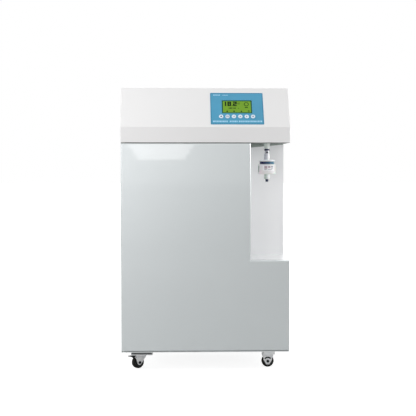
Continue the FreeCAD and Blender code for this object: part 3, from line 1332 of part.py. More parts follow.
def make_internal_tubing():
    """Each tube, from port to port in the order that the water takes."""
    tail_y = REAR_INNER - FITTING_TAIL
    valve_y = PLATE_BACK + VALVE_DEPTH + PORT_LENGTH
    valve_top = FEED_VALVE_Z + VALVE_SIZE / 2 + PORT_LENGTH
    valve_mid_y = PLATE_BACK + VALVE_DEPTH / 2
    feed_x = FILTER_X[0]
    feed_y = CIRCULATOR_Y + 2 * PUMP_MOTOR_RADIUS
    feed = [
        (feed_x, tail_y, PORT_Z),
        (feed_x, feed_y, PORT_Z),
        (feed_x, feed_y, FEED_VALVE_Z),
        (feed_x, valve_y, FEED_VALVE_Z),
    ]
    to_filters = [
        (feed_x, valve_mid_y, valve_top),
        (feed_x, valve_mid_y, TUBE_TOP),
        (feed_x, FILTER_Y, TUBE_TOP),
        (feed_x, FILTER_Y, FILTER_HEAD_TOP),
    ]
    last_x = FILTER_X[-1]
    drop_x = (last_x + FILTER_HEAD_SIZE / 2 + POLISHER_X[-1] - POLISHER_RADIUS) / 2
    pump_x = BOOSTER_X - PORT_LENGTH
    down_x = pump_x - TUBE_BEND - PORT_LENGTH / 2
    under_z = POLISHER_LOW - PUMP_RUN_DROP
    to_booster = [
        (last_x, FILTER_Y, FILTER_HEAD_TOP),
        (last_x, FILTER_Y, TUBE_TOP),
        (drop_x, FILTER_Y, TUBE_TOP),
        (drop_x, FILTER_Y, under_z),
        (drop_x, BOOSTER_Y, under_z),
        (down_x, BOOSTER_Y, under_z),
        (down_x, BOOSTER_Y, PORT_Z),
        (pump_x, BOOSTER_Y, PORT_Z),
    ]
    out_x = BOOSTER_X + PUMP_HEAD_LENGTH / 2
    membrane_end = UNIT_LEFT + MEMBRANE_LENGTH + PORT_LENGTH
    to_membranes = [
        (out_x, BOOSTER_Y + PUMP_HEAD_RADIUS + PORT_LENGTH, PORT_Z),
        (out_x, MEMBRANE_Y, PORT_Z),
        (out_x, MEMBRANE_Y, MEMBRANE_Z[1]),
        (membrane_end, MEMBRANE_Y, MEMBRANE_Z[1]),
    ]
    permeate = [
        (membrane_end, MEMBRANE_Y, PORT_Z),
        (PERMEATE_PORT_X, MEMBRANE_Y, PORT_Z),
        (PERMEATE_PORT_X, tail_y, PORT_Z),
    ]
    reject = [(REJECT_PORT_X, valve_y, PORT_Z), (REJECT_PORT_X, tail_y, PORT_Z)]
    tank = [
        (TANK_PORT_X, tail_y, PORT_Z),
        (TANK_PORT_X, CIRCULATOR_Y, PORT_Z),
        (CIRCULATOR_X + PORT_LENGTH, CIRCULATOR_Y, PORT_Z),
    ]
    pump_out_x = CIRCULATOR_X - PUMP_HEAD_LENGTH / 2
    pump_out_z = PORT_Z + CIRCULATOR_RADIUS - PUMP_EDGE + PORT_LENGTH
    to_reactor = [
        (pump_out_x, CIRCULATOR_Y, pump_out_z),
        (pump_out_x, CIRCULATOR_Y, REACTOR_Z),
        (pump_out_x, REACTOR_Y + REACTOR_RADIUS, REACTOR_Z),
    ]
    reactor_end = UNIT_LEFT + REACTOR_LENGTH + PORT_LENGTH
    turn_x = reactor_end + TUBE_BEND + PORT_TURN
    low_z = POLISHER_LOW - PORT_LENGTH
    cross_z = low_z - LINK_DROP
    to_polisher = [
        (reactor_end, REACTOR_Y, REACTOR_Z),
        (turn_x, REACTOR_Y, REACTOR_Z),
        (turn_x, REACTOR_Y, cross_z),
        (POLISHER_X[1], REACTOR_Y, cross_z),
        (POLISHER_X[1], REACTOR_Y, low_z),
    ]
    top_z = POLISHER_TOP + PORT_LENGTH
    over_z = FILTER_HEAD_TOP + OVER_RISE
    over = [
        (POLISHER_X[1], POLISHER_Y, top_z),
        (POLISHER_X[1], POLISHER_Y, over_z),
        (POLISHER_X[0], POLISHER_Y, over_z),
        (POLISHER_X[0], POLISHER_Y, top_z),
    ]
    cross_up = HEAD_Z + CROSS_UP
    to_outlet = [
        (POLISHER_X[0], POLISHER_Y, low_z),
        (POLISHER_X[0], POLISHER_Y, RISER_LOW_Z),
        (POLISHER_X[0], RISER_Y, RISER_LOW_Z),
        (POLISHER_X[0], RISER_Y, cross_up),
        (OUTLET_X, RISER_Y, cross_up),
        (OUTLET_X, OUTLET_Y, cross_up),
        (OUTLET_X, OUTLET_Y, HEAD_Z + LOCKNUT_HEIGHT + PORT_LENGTH),
    ]
    routes = [feed, to_filters, to_booster, to_membranes, permeate]
    routes += [tank, to_reactor, to_polisher, over, to_outlet]
    return [tube(route) for route in routes] + [rod(TUBE_RADIUS, reject[0], reject[1])]


# ---------------------------------------------------------------- places worked out from the dimensions
CASTOR_X = (-HALF + LEFT_CASTOR_INSET, HALF - RIGHT_CASTOR_INSET)
CASTOR_Y = (FRONT + FRONT_CASTOR_INSET, REAR - REAR_CASTOR_INSET)
CASTOR_PLATE_LOW = CASTOR_HEIGHT - CASTOR_PLATE
CROWN_TOP = CASTOR_PLATE_LOW - RACE_GAP
OUTLET_X = HALF - OUTLET_FROM_RIGHT
OUTLET_Y = FRONT + OUTLET_FROM_FRONT
BAY_WIDTH = LINER_LEFT + INNER
FILTER_PITCH = BAY_WIDTH * FILTER_SHARE
FILTER_HEAD_SIZE = FILTER_PITCH - FILTER_GAP
FIRST_FILTER_X = -INNER + SIDE_ROOM + FILTER_HEAD_SIZE / 2
FILTER_X = [FIRST_FILTER_X + FILTER_PITCH * number for number in range(FILTER_COUNT)]
FILTER_Y = PLATE_Y - FILTER_HEAD_BRACKET - FILTER_HEAD_SIZE / 2
FILTER_HEAD_TOP = BODY_TOP - FILTER_HEAD_DROP
TUBE_TOP = FILTER_HEAD_TOP + TUBE_RISE
POLISHER_PITCH = BAY_WIDTH * POLISHER_SHARE
POLISHER_RADIUS = (POLISHER_PITCH - POLISHER_GAP) / 2
FIRST_POLISHER_X = LINER_LEFT - POLISHER_ROOM - POLISHER_RADIUS
POLISHER_X = [FIRST_POLISHER_X - POLISHER_PITCH * number for number in range(2)]
POLISHER_Y = PLATE_Y - STAND_OFF - POLISHER_RADIUS
POLISHER_TOP = BODY_TOP - POLISHER_DROP
UNIT_LEFT = -INNER + END_ROOM
MEMBRANE_LENGTH = BAY_WIDTH - MEMBRANE_ROOM
REACTOR_LENGTH = BAY_WIDTH - REACTOR_ROOM
PORT_Z = PAN_TOP + MEMBRANE_UP
MEMBRANE_Y = PLATE_Y - STAND_OFF - MEMBRANE_RADIUS
MEMBRANE_Z = (PORT_Z, PORT_Z + MEMBRANE_PITCH)
REACTOR_Y = PLATE_Y - STAND_OFF - REACTOR_RADIUS
REACTOR_Z = MEMBRANE_Z[1] + REACTOR_UP
POLISHER_LOW = REACTOR_Z + REACTOR_RADIUS + POLISHER_RISE
BOWL_LOW = POLISHER_LOW + BOWL_RISE
FEED_VALVE_Z = POLISHER_LOW + FEED_VALVE_RISE
BOOSTER_X = INNER - BOOSTER_FROM_RIGHT - PUMP_MOTOR_LENGTH - PUMP_HEAD_LENGTH
BOOSTER_Y = FRONT + BOOSTER_FROM_FRONT
CIRCULATOR_X = -INNER + CIRCULATOR_FROM_LEFT + PUMP_MOTOR_LENGTH + PUMP_HEAD_LENGTH
CIRCULATOR_Y = PLATE_BACK + CIRCULATOR_BEHIND
RISER_Y = PLATE_BACK + RISER_BACK
RISER_LOW_Z = POLISHER_LOW - PORT_LENGTH - RISER_DROP
CELL_Z = RISER_LOW_Z + CELL_RISE
TANK_PORT_X = CIRCULATOR_X + PORT_LENGTH + TUBE_BEND + TANK_RUN
PERMEATE_PORT_X = UNIT_LEFT + MEMBRANE_LENGTH + PORT_LENGTH + TUBE_BEND + PORT_TURN
FITTING_Z = PORT_Z
FITTING_X = (FILTER_X[0], TANK_PORT_X, REJECT_PORT_X, PERMEATE_PORT_X)
PLATE_HOLES = (
    (FILTER_X[0], TUBE_TOP),
    (REJECT_PORT_X, PORT_Z),
    (PERMEATE_PORT_X, PORT_Z),
    (CIRCULATOR_X - PUMP_HEAD_LENGTH / 2, REACTOR_Z),
    (POLISHER_X[0], RISER_LOW_Z),
)
INLET_X = HALF - INLET_FROM_RIGHT
ROCKER_Y = REAR + INLET_FLANGE_SHEET - ROCKER_DEPTH
ROCKER_Z = INLET_Z + ROCKER_RISE

# ---------------------------------------------------------------- the whole object
save("head_cover", make_head_cover())
save("head_floor", make_head_floor())
save("control_overlay", make_control_overlay())
save("display_module", *make_display_module())
save("circuit_boards", make_control_board(), make_main_board())
for number, across in enumerate(key_centres(), 1):
    save("key_%d" % number, make_key(across))

save("base_pan", make_base_pan())
save("base_runners", *make_base_runners())
save("frame_uprights", *make_frame_uprights())
save("left_side_panel", make_left_side_panel())
save("right_side_panel", make_right_side_panel())
save("rear_panel", make_rear_panel())
save("fasteners", *make_panel_screws(), *make_castor_bolts())
save("niche_liner", make_niche_liner())
save("mounting_plate", make_mounting_plate())

save("front_door", make_front_door())
save("door_bushes", *make_door_bushes())
save("door_pivot_pins", *make_door_pivot_pins())
save("door_magnets", *make_door_magnets())

make_outlet()
make_castors()
make_prefilters()
make_treatment()
make_pumps()
make_valves_and_cells()
save("power_supply", make_power_supply())
save("internal_tubing", *make_internal_tubing())
save("bulkhead_fittings", *make_bulkhead_fittings())
save("power_inlet", make_power_inlet())
save("power_rocker", make_power_rocker())
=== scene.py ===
import bpy
import bmesh
import math
import random
from mathutils import Matrix, Vector


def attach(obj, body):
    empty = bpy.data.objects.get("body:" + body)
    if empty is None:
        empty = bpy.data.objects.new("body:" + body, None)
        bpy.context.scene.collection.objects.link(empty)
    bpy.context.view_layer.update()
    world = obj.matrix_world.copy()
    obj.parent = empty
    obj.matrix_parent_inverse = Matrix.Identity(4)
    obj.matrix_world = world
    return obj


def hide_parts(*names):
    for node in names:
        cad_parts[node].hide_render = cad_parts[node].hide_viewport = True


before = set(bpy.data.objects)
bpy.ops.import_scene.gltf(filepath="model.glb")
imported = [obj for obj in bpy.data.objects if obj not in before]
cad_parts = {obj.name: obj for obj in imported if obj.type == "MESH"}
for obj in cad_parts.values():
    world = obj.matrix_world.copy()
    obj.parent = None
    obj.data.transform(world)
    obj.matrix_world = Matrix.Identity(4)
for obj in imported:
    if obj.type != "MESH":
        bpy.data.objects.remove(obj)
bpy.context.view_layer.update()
RANDOM_SEED = 4
random.seed(RANDOM_SEED)
MM = 0.001
# The dispensing outlet's upright axis, in millimetres.
OUTLET_X = 205.0
OUTLET_Y = -145.0


def add_object(name, data):
    obj = bpy.data.objects.new(name, data)
    bpy.context.scene.collection.objects.link(obj)
    return obj


# ---------------- camera
# Where the photo was taken from, found by matching the cabinet's edges.
FOCAL_PX = 1000.0
IMAGE_PX = 416.0
SENSOR_WIDTH = 36.0
CAMERA_PLACE = (-0.100, -3.429, 0.668)
CAMERA_DOWN = 2.53
CAMERA_RIGHT = 1.94
camera_data = bpy.data.cameras.new("camera")
camera_data.sensor_width = SENSOR_WIDTH
camera_data.lens = SENSOR_WIDTH * FOCAL_PX / IMAGE_PX
camera_data.clip_start = 0.05
camera_data.clip_end = 60.0
camera = add_object("camera", camera_data)
camera.location = CAMERA_PLACE
camera.rotation_euler = (math.radians(90 - CAMERA_DOWN), 0.0, math.radians(-CAMERA_RIGHT))
bpy.context.scene.camera = camera
bpy.context.scene.view_settings.view_transform = "Standard"

# ---------------- materials
# A noise texture's values lie mostly between these two.
NOISE_LOW = 0.3
NOISE_HIGH = 0.7


def linear(value):
    """A screen value of 0 to 255 as linear light."""
    value /= 255.0
    return value / 12.92 if value <= 0.04045 else ((value + 0.055) / 1.055) ** 2.4


def colour(red, green, blue):
    """A colour from its 0 to 255 values."""
    return (linear(red), linear(green), linear(blue), 1.0)


def grey(value):
    return (value, value, value, 1.0)


def shaded(tint, factor):
    """A tint made lighter or darker, but never past full."""
    return tuple(min(1.0, part * factor) for part in tint[:3]) + (1.0,)


class Tree:
    """A small helper round one node tree."""

    def __init__(self, tree):
        self.tree = tree

    def add(self, kind, **values):
        node = self.tree.nodes.new(kind)
        for key, value in values.items():
            setattr(node, key, value)
        return node

    def link(self, start, end):
        self.tree.links.new(start, end)

    def math(self, operation, *values):
        """A math node over sockets and plain numbers."""
        node = self.add("ShaderNodeMath", operation=operation)
        for value, socket in zip(values, node.inputs):
            if isinstance(value, float):
                socket.default_value = value
            else:
                self.link(value, socket)
        return node.outputs[0]

    def map_range(self, value, from_low, from_high, to_low=0.0, to_high=1.0, kind="LINEAR"):
        node = self.add("ShaderNodeMapRange", interpolation_type=kind)
        ends = {"From Min": from_low, "From Max": from_high, "To Min": to_low, "To Max": to_high}
        for name, number in ends.items():
            node.inputs[name].default_value = number
        self.link(value, node.inputs["Value"])
        return node.outputs["Result"]


class Material(Tree):
    """One material's nodes, round its shader and the object's own coordinates."""

    def __init__(self, name):
        self.material = bpy.data.materials.new(name)
        self.material.use_nodes = True
        super().__init__(self.material.node_tree)
        self.shader = self.tree.nodes["Principled BSDF"]
        self.place = self.add("ShaderNodeTexCoord").outputs["Object"]

    def set(self, **values):
        for key, value in values.items():
            self.shader.inputs[key.replace("_", " ")].default_value = value

    def scaled(self, scale):
        """The object's own coordinates, stretched along each axis."""
        mapping = self.add("ShaderNodeMapping")
        mapping.inputs["Scale"].default_value = scale
        self.link(self.place, mapping.inputs["Vector"])
        return mapping.outputs["Vector"]

    def along(self, axis, start, end):
        """Goes from 0 at start to 1 at end along X, Y or Z, in metres."""
        separate = self.add("ShaderNodeSeparateXYZ")
        self.link(self.place, separate.inputs["Vector"])
        return self.map_range(separate.outputs[axis], start, end)

    def noise(self, scale, detail=2.0, roughness=0.5, place=None):
        node = self.add("ShaderNodeTexNoise")
        node.inputs["Scale"].default_value = scale
        node.inputs["Detail"].default_value = detail
        node.inputs["Roughness"].default_value = roughness
        self.link(place or self.place, node.inputs["Vector"])
        return node.outputs["Fac"]

    def cells(self, scale):
        """Small cells, each with a random colour of its own."""
        node = self.add("ShaderNodeTexVoronoi", feature="F1")
        node.inputs["Scale"].default_value = scale
        self.link(self.place, node.inputs["Vector"])
        return node.outputs["Color"]

    def ramp(self, factor, *stops):
        """A colour ramp over (position, colour) stops."""
        node = self.add("ShaderNodeValToRGB")
        for element, (position, value) in zip(node.color_ramp.elements, stops):
            element.position = position
            element.color = value
        self.link(factor, node.inputs["Fac"])
        return node.outputs["Color"]

    def mottle(self, factor, low, high):
        """Goes from one colour to another over a noise's range."""
        return self.ramp(factor, (NOISE_LOW, low), (NOISE_HIGH, high))

    def mix(self, blend, first, second):
        node = self.add("ShaderNodeMix", data_type="RGBA", blend_type=blend)
        node.inputs["Factor"].default_value = 1.0
        self.link(first, node.inputs["A"])
        self.link(second, node.inputs["B"])
        return node.outputs["Result"]

    def tint(self, value):
        self.link(value, self.shader.inputs["Base Color"])
        return value

    def worn(self, tint, light, dark, scale):
        """A colour that goes a little lighter and darker over the surface."""
        noise = self.noise(scale, detail=4.0, roughness=0.6)
        return self.tint(self.mottle(noise, shaded(tint, dark), shaded(tint, light)))

    def socket(self, name, factor, low, high):
        """Drives one of the shader's sockets from low to high over a noise's range."""
        self.link(self.map_range(factor, NOISE_LOW, NOISE_HIGH, low, high), self.shader.inputs[name])

    def bump(self, height, strength, distance):
        node = self.add("ShaderNodeBump")
        node.inputs["Strength"].default_value = strength
        node.inputs["Distance"].default_value = distance
        self.link(height, node.inputs["Height"])
        self.link(node.outputs["Normal"], self.shader.inputs["Normal"])


def painted(name, tint, roughness, coat, dust=0.0, dust_top=0.25):
    """Powder coat: a fine orange peel, slight drift of colour, and a little dust low down. Some of its tints
    are painted shade or painted light, as noted where they are made.
    """
    m = Material(name)
    base = m.worn(tint, light=1.004, dark=0.992, scale=5.0)
    if dust:
        shade = m.ramp(m.along("Z", 0.05, dust_top), (0.0, grey(1 - dust)), (1.0, grey(1.0)))
        m.tint(m.mix("MULTIPLY", base, shade))
    m.socket("Roughness", m.noise(24.0, detail=3.0), roughness - 0.02, roughness + 0.02)
    m.set(Coat_Weight=coat, Coat_Roughness=0.12, Coat_IOR=1.5, IOR=1.45)
    m.bump(m.noise(420.0), strength=0.10, distance=0.00012)
    return m.material


def silver_paint(name, tint, metallic, roughness):
    """A door's silver-grey enamel: fine metal flakes under a smooth clear coat."""
    m = Material(name)
    flakes = m.ramp(m.cells(1800.0), (0.1, grey(0.97)), (0.9, grey(1.0)))
    base = m.worn(tint, light=1.003, dark=0.994, scale=4.0)
    m.tint(m.mix("MULTIPLY", base, flakes))
    m.socket("Roughness", m.noise(30.0, detail=3.0), roughness - 0.012, roughness + 0.012)
    m.set(Metallic=metallic, Coat_Weight=1.0, Coat_Roughness=0.03, Coat_IOR=1.6, IOR=1.45)
    m.bump(m.noise(420.0), strength=0.08, distance=0.0001)
    return m.material


def metal(name, tint, roughness, grain=(1, 1, 1), grain_scale=300.0, spangle=0.0, metallic=1.0):
    """Bare or plated metal, with grain along one way and, when it is galvanised, its spangle."""
    m = Material(name)
    base = m.worn(tint, light=1.06, dark=0.88, scale=45.0)
    if spangle:
        tone = m.ramp(m.cells(90.0), (0.1, grey(1 - spangle)), (0.9, grey(1.0)))
        m.tint(m.mix("MULTIPLY", base, tone))
    m.set(Metallic=metallic)
    scratches = m.noise(grain_scale, detail=3.0, roughness=0.6, place=m.scaled(grain))
    m.socket("Roughness", scratches, roughness - 0.08, roughness + 0.12)
    m.bump(m.noise(grain_scale * 2, place=m.scaled(grain)), strength=0.12, distance=0.00008)
    return m.material


def plastic(name, tint, roughness, texture=700.0, depth=0.06, subsurface=0.0, coat=0.0):
    """Moulded plastic: a fine spark texture and a slightly uneven gloss."""
    m = Material(name)
    m.worn(tint, light=1.04, dark=0.95, scale=80.0)
    m.socket("Roughness", m.noise(140.0), roughness - 0.05, roughness + 0.08)
    if subsurface:
        m.set(Subsurface_Weight=subsurface, Subsurface_Scale=0.004)
    if coat:
        m.set(Coat_Weight=coat, Coat_Roughness=0.05)
    m.bump(m.noise(texture), strength=depth, distance=0.0001)
    return m.material


def clear(name, tint, roughness, transmission, ior, haze):
    """Clear or milky moulding, with faint flow lines in its thickness."""
    m = Material(name)
    m.worn(tint, light=1.0, dark=0.96, scale=60.0)
    m.set(Transmission_Weight=transmission, IOR=ior, Subsurface_Weight=haze, Subsurface_Scale=0.003)
    m.socket("Roughness", m.noise(160.0), roughness, roughness + 0.06)
    m.bump(m.noise(90.0, place=m.scaled((1, 1, 0.2))), strength=0.08, distance=0.0001)
    return m.material


def shaded_left_to_right(name, left, right, start, end, roughness=0.25, coat=0.2):
    """A translucent moulding with painted shade on its left and painted light on its right: the tint goes
    from left at start to right at end, in millimetres off the outlet's axis.
    """
    m = Material(name)
    # Painted shade towards the left end, painted light towards the right end.
    tone = m.ramp(m.along("X", (OUTLET_X + start) * MM, (OUTLET_X + end) * MM), (0.0, left), (1.0, right))
    cloud = m.mottle(m.noise(90.0, detail=3.0, roughness=0.6), grey(0.95), grey(1.0))
    m.tint(m.mix("MULTIPLY", tone, cloud))
    m.socket("Roughness", m.noise(140.0), roughness - 0.05, roughness + 0.06)
    m.set(Coat_Weight=coat, Coat_Roughness=0.06, Subsurface_Weight=0.05, Subsurface_Scale=0.002)
    m.bump(m.noise(900.0), strength=0.05, distance=0.0001)
    return m.material


def rubber(name, tint, dusty):
    """Rubber with dust in its grain."""
    m = Material(name)
    base = m.worn(tint, light=1.25, dark=0.75, scale=220.0)
    dust = m.ramp(m.noise(70.0, detail=5.0, roughness=0.7), (0.45, grey(0.0)), (0.75, dusty))
    m.tint(m.mix("ADD", base, dust))
    m.set(IOR=1.5, Specular_IOR_Level=0.25)
    m.socket("Roughness", m.noise(180.0, detail=3.0), 0.5, 0.72)
    m.bump(m.noise(900.0, detail=3.0), strength=0.25, distance=0.0002)
    return m.material


def fastener_metal(name):
    """Bare zinc on the rigid castors' bolts, low down at the right, and black oxide on the other screws."""
    m = Material(name)
    zinc = m.math("MULTIPLY", m.along("X", 0.10, 0.11), m.along("Z", 0.11, 0.10))
    tone = m.ramp(zinc, (0.0, colour(24, 27, 30)), (1.0, colour(222, 226, 228)))
    grain = m.mottle(m.noise(300.0, detail=3.0, roughness=0.6), grey(0.85), grey(1.0))
    m.tint(m.mix("MULTIPLY", tone, grain))
    m.socket("Metallic", zinc, 0.0, 0.4)
    m.socket("Roughness", m.noise(240.0), 0.3, 0.42)
    m.bump(m.noise(900.0), strength=0.1, distance=0.00006)
    return m.material


def ink(name, tint, roughness=0.45):
    """A printed or etched mark, and the capsule's strip of painted shade."""
    m = Material(name)
    m.worn(tint, light=1.05, dark=0.93, scale=400.0)
    m.set(Roughness=roughness, Specular_IOR_Level=0.2)
    m.bump(m.noise(1500.0, detail=1.0), strength=0.05, distance=0.00005)
    return m.material


def circuit_board(name):
    """A green board with the pattern of its tracks."""
    m = Material(name)
    tracks = m.add("ShaderNodeTexBrick")
    tracks.inputs["Scale"].default_value = 160.0
    tracks.inputs["Color1"].default_value = colour(18, 92, 52)
    tracks.inputs["Color2"].default_value = colour(22, 104, 60)
    tracks.inputs["Mortar"].default_value = colour(60, 140, 80)
    tracks.inputs["Mortar Size"].default_value = 0.03
    m.link(m.place, tracks.inputs["Vector"])
    m.tint(tracks.outputs["Color"])
    m.set(Roughness=0.4, Coat_Weight=0.4, Coat_Roughness=0.2)
    m.bump(tracks.outputs["Fac"], strength=0.3, distance=0.00005)
    return m.material


def panel_film(name, tint):
    """The control panel's film: a fine velvet grain over its blue, and a soft gloss."""
    m = Material(name)
    m.worn(tint, light=1.05, dark=0.95, scale=14.0)
    m.socket("Roughness", m.noise(30.0), 0.34, 0.44)
    m.bump(m.noise(1400.0, detail=1.0), strength=0.12, distance=0.00006)
    return m.material


def lcd_glass(name, tint):
    """The display: a faintly lit green ground with the fine grid of its dots."""
    m = Material(name)
    dots = m.add("ShaderNodeTexChecker")
    dots.inputs["Scale"].default_value = 1400.0
    dots.inputs["Color1"].default_value = shaded(tint, 1.03)
    dots.inputs["Color2"].default_value = shaded(tint, 0.95)
    m.link(m.place, dots.inputs["Vector"])
    cloud = m.mottle(m.noise(18.0), (0.90, 0.92, 0.88, 1.0), grey(1.0))
    tone = m.tint(m.mix("MULTIPLY", dots.outputs["Color"], cloud))
    m.link(tone, m.shader.inputs["Emission Color"])
    m.set(Emission_Strength=0.04, Roughness=0.5, Specular_IOR_Level=0.3, Coat_Weight=0.05)
    m.set(Coat_Roughness=0.06)
    m.bump(dots.outputs["Fac"], strength=0.04, distance=0.00003)
    return m.material


def pleated(name, tint):
    """The fibrous membrane of a pleated filter pack."""
    m = Material(name)
    m.worn(tint, light=1.03, dark=0.9, scale=300.0)
    m.set(Roughness=0.75, Subsurface_Weight=0.15, Subsurface_Scale=0.002)
    m.bump(m.noise(2000.0, detail=3.0), strength=0.3, distance=0.0001)
    return m.material


# Cabinet
HEAD = painted("head_paint", colour(238, 238, 238), roughness=0.36, coat=0.2)
DOOR = silver_paint("door_paint", colour(201, 207, 208), metallic=0.7, roughness=0.36)
SIDE = painted("side_paint", colour(224, 227, 229), roughness=0.32, coat=0.3, dust=0.08, dust_top=0.2)
NICHE = painted("recess_paint", colour(244, 245, 246), roughness=0.4, coat=0.15)
# Painted shadow: a dark grey-green for the wedge of shade under the head, at the top of the recess.
SHADOW_WEDGE = painted("shadow_wedge_paint", colour(158, 168, 162), roughness=0.5, coat=0.0)
# The pan's pale paint, lighter than the cabinet's sides, is painted light that lifts the shaded strip under
# the door.
PAN = painted("pan_paint", colour(238, 242, 242), roughness=0.4, coat=0.1)
# Painted shade: the head's floor is a dark grey-green for the shade in the seam over the door and under the
# head in the recess.
HEAD_FLOOR_SHADE = painted("head_floor_shade_paint", colour(104, 113, 107), roughness=0.5, coat=0.0)
GALVANISED = metal("galvanised_sheet", colour(196, 201, 206), 0.42, grain_scale=60.0, spangle=0.16)
ZINC = metal("zinc_plate", colour(250, 253, 255), 0.36, grain_scale=220.0, spangle=0.04, metallic=0.12)
TURNED = metal("turned_steel", colour(160, 164, 170), 0.30, grain=(1, 1, 6), grain_scale=500.0)
FASTENER = fastener_metal("fastener_finish")
NYLON = plastic("bush_nylon", colour(214, 212, 204), 0.45, texture=600.0, subsurface=0.1)
MAGNET = plastic("magnet_block", colour(40, 40, 44), 0.5)
# Castors
# Black on the brake pedals, and on the castor plates painted shade for the shadow under them.
BLACK = plastic("black_and_plate_shade", colour(20, 24, 28), 0.38, texture=900.0, depth=0.08)
NUT_DARK = metal("dark_nut", colour(38, 44, 50), 0.35, grain_scale=500.0)
TYRE = rubber("tyre_rubber", colour(6, 7, 4), colour(24, 25, 15))
WHEEL_CENTRE = plastic("wheel_centre", colour(30, 36, 36), 0.5)
# Control panel
BLUE = panel_film("panel_blue", colour(58, 152, 190))
BLUE_EDGE = ink("panel_edge", colour(54, 122, 156))
GREEN = lcd_glass("display_green", colour(114, 162, 14))
GREEN_RIM = ink("display_rim", colour(30, 92, 66), 0.6)
DIGIT = ink("display_ink", colour(8, 34, 2), 0.7)
FAINT = ink("display_faint_ink", colour(30, 70, 6), 0.7)
PRINT = ink("panel_print", colour(166, 216, 242))
SYMBOL = ink("key_symbol", colour(66, 96, 134))
KEY = plastic("key_white", colour(226, 238, 248), 0.3, texture=900.0, depth=0.04, coat=0.3)
# Dispensing outlet
# The nut, coupler, capsule band and nozzle have painted shade on their left and painted light on their right.
MILKY = shaded_left_to_right("milky_nut", colour(206, 218, 212), colour(240, 246, 243), start=-8.8, end=8.0)
RING_BLACK = plastic("ring_black", colour(18, 26, 66), 0.4)
WHITE = shaded_left_to_right("connector_white", colour(206, 208, 220), colour(250, 251, 252), start=-4.0, end=4.0)
STUD = plastic("stud_dark", colour(30, 40, 66), 0.3)
CAP = plastic("cap_white", colour(246, 249, 250), 0.25, texture=900.0, depth=0.04, subsurface=0.1, coat=0.3)
TEAL = shaded_left_to_right("band_teal", colour(4, 20, 80), colour(8, 108, 136), start=-15.0, end=20.0, roughness=0.3,
                coat=0.1)
# Painted shade: a grey-green strip for the darker left edge of the capsule.
CAPSULE_EDGE_SHADE = ink("capsule_edge_shade", colour(132, 150, 142), 0.4)
SHELL = clear("shell_clear", colour(250, 246, 248), roughness=0.12, transmission=0.12, ior=1.4, haze=0.4)
PLEATS = pleated("membrane", colour(250, 250, 248))
LABEL = ink("label_white", colour(246, 244, 246), 0.5)
LABEL_PINK = ink("label_rose", colour(190, 172, 182), 0.5)
LABEL_GREY = ink("label_grey", colour(160, 162, 172), 0.5)
NECK = shaded_left_to_right("nozzle_milky", colour(186, 202, 194), colour(250, 253, 252), start=-5.0, end=5.0)
TIP = plastic("tip_dark", colour(40, 50, 76), 0.3)
# Inside and at the back
STAINLESS = metal("stainless", colour(206, 209, 212), 0.26, grain=(0.06, 1, 1), grain_scale=700.0)
FILTER_BLUE = plastic("filter_head_blue", colour(40, 92, 168), 0.38, texture=500.0, depth=0.08)
BOWL = plastic("bowl_white", colour(226, 229, 229), 0.34, texture=400.0, subsurface=0.05)
HOUSING = plastic("housing_white", colour(230, 231, 229), 0.3, texture=500.0, depth=0.05, subsurface=0.05)
POLISHER = plastic("polisher_grey", colour(198, 204, 210), 0.32, texture=500.0, depth=0.05)
CLIP = plastic("clip_grey", colour(112, 116, 122), 0.5)
PUMP = painted("pump_paint", colour(66, 70, 78), roughness=0.4, coat=0.2)
VALVE = plastic("valve_body", colour(204, 204, 198), 0.45)
COIL = plastic("coil_black", colour(36, 38, 42), 0.45)
CELL = plastic("cell_grey", colour(78, 84, 90), 0.45)
SUPPLY = metal("supply_case", colour(190, 193, 197), 0.38, grain=(1, 1, 0.1), grain_scale=200.0)
TUBE = clear("tube_milky", colour(226, 232, 236), roughness=0.3, transmission=0.35, ior=1.45, haze=0.2)
FITTING = plastic("fitting_grey", colour(186, 190, 194), 0.4)
COLLET = plastic("collet_blue", colour(60, 110, 170), 0.4)
INLET = plastic("inlet_black", colour(26, 26, 28), 0.5, texture=500.0, depth=0.12)
ROCKER = plastic("rocker_red", colour(176, 34, 28), 0.28, texture=900.0, depth=0.04, coat=0.3)
BOARD = circuit_board("board_green")
CHIP = plastic("chip_black", colour(30, 31, 34), 0.5)
CAN = metal("can_silver", colour(190, 194, 200), 0.3)
COPPER = metal("copper_coil", colour(190, 120, 70), 0.4)

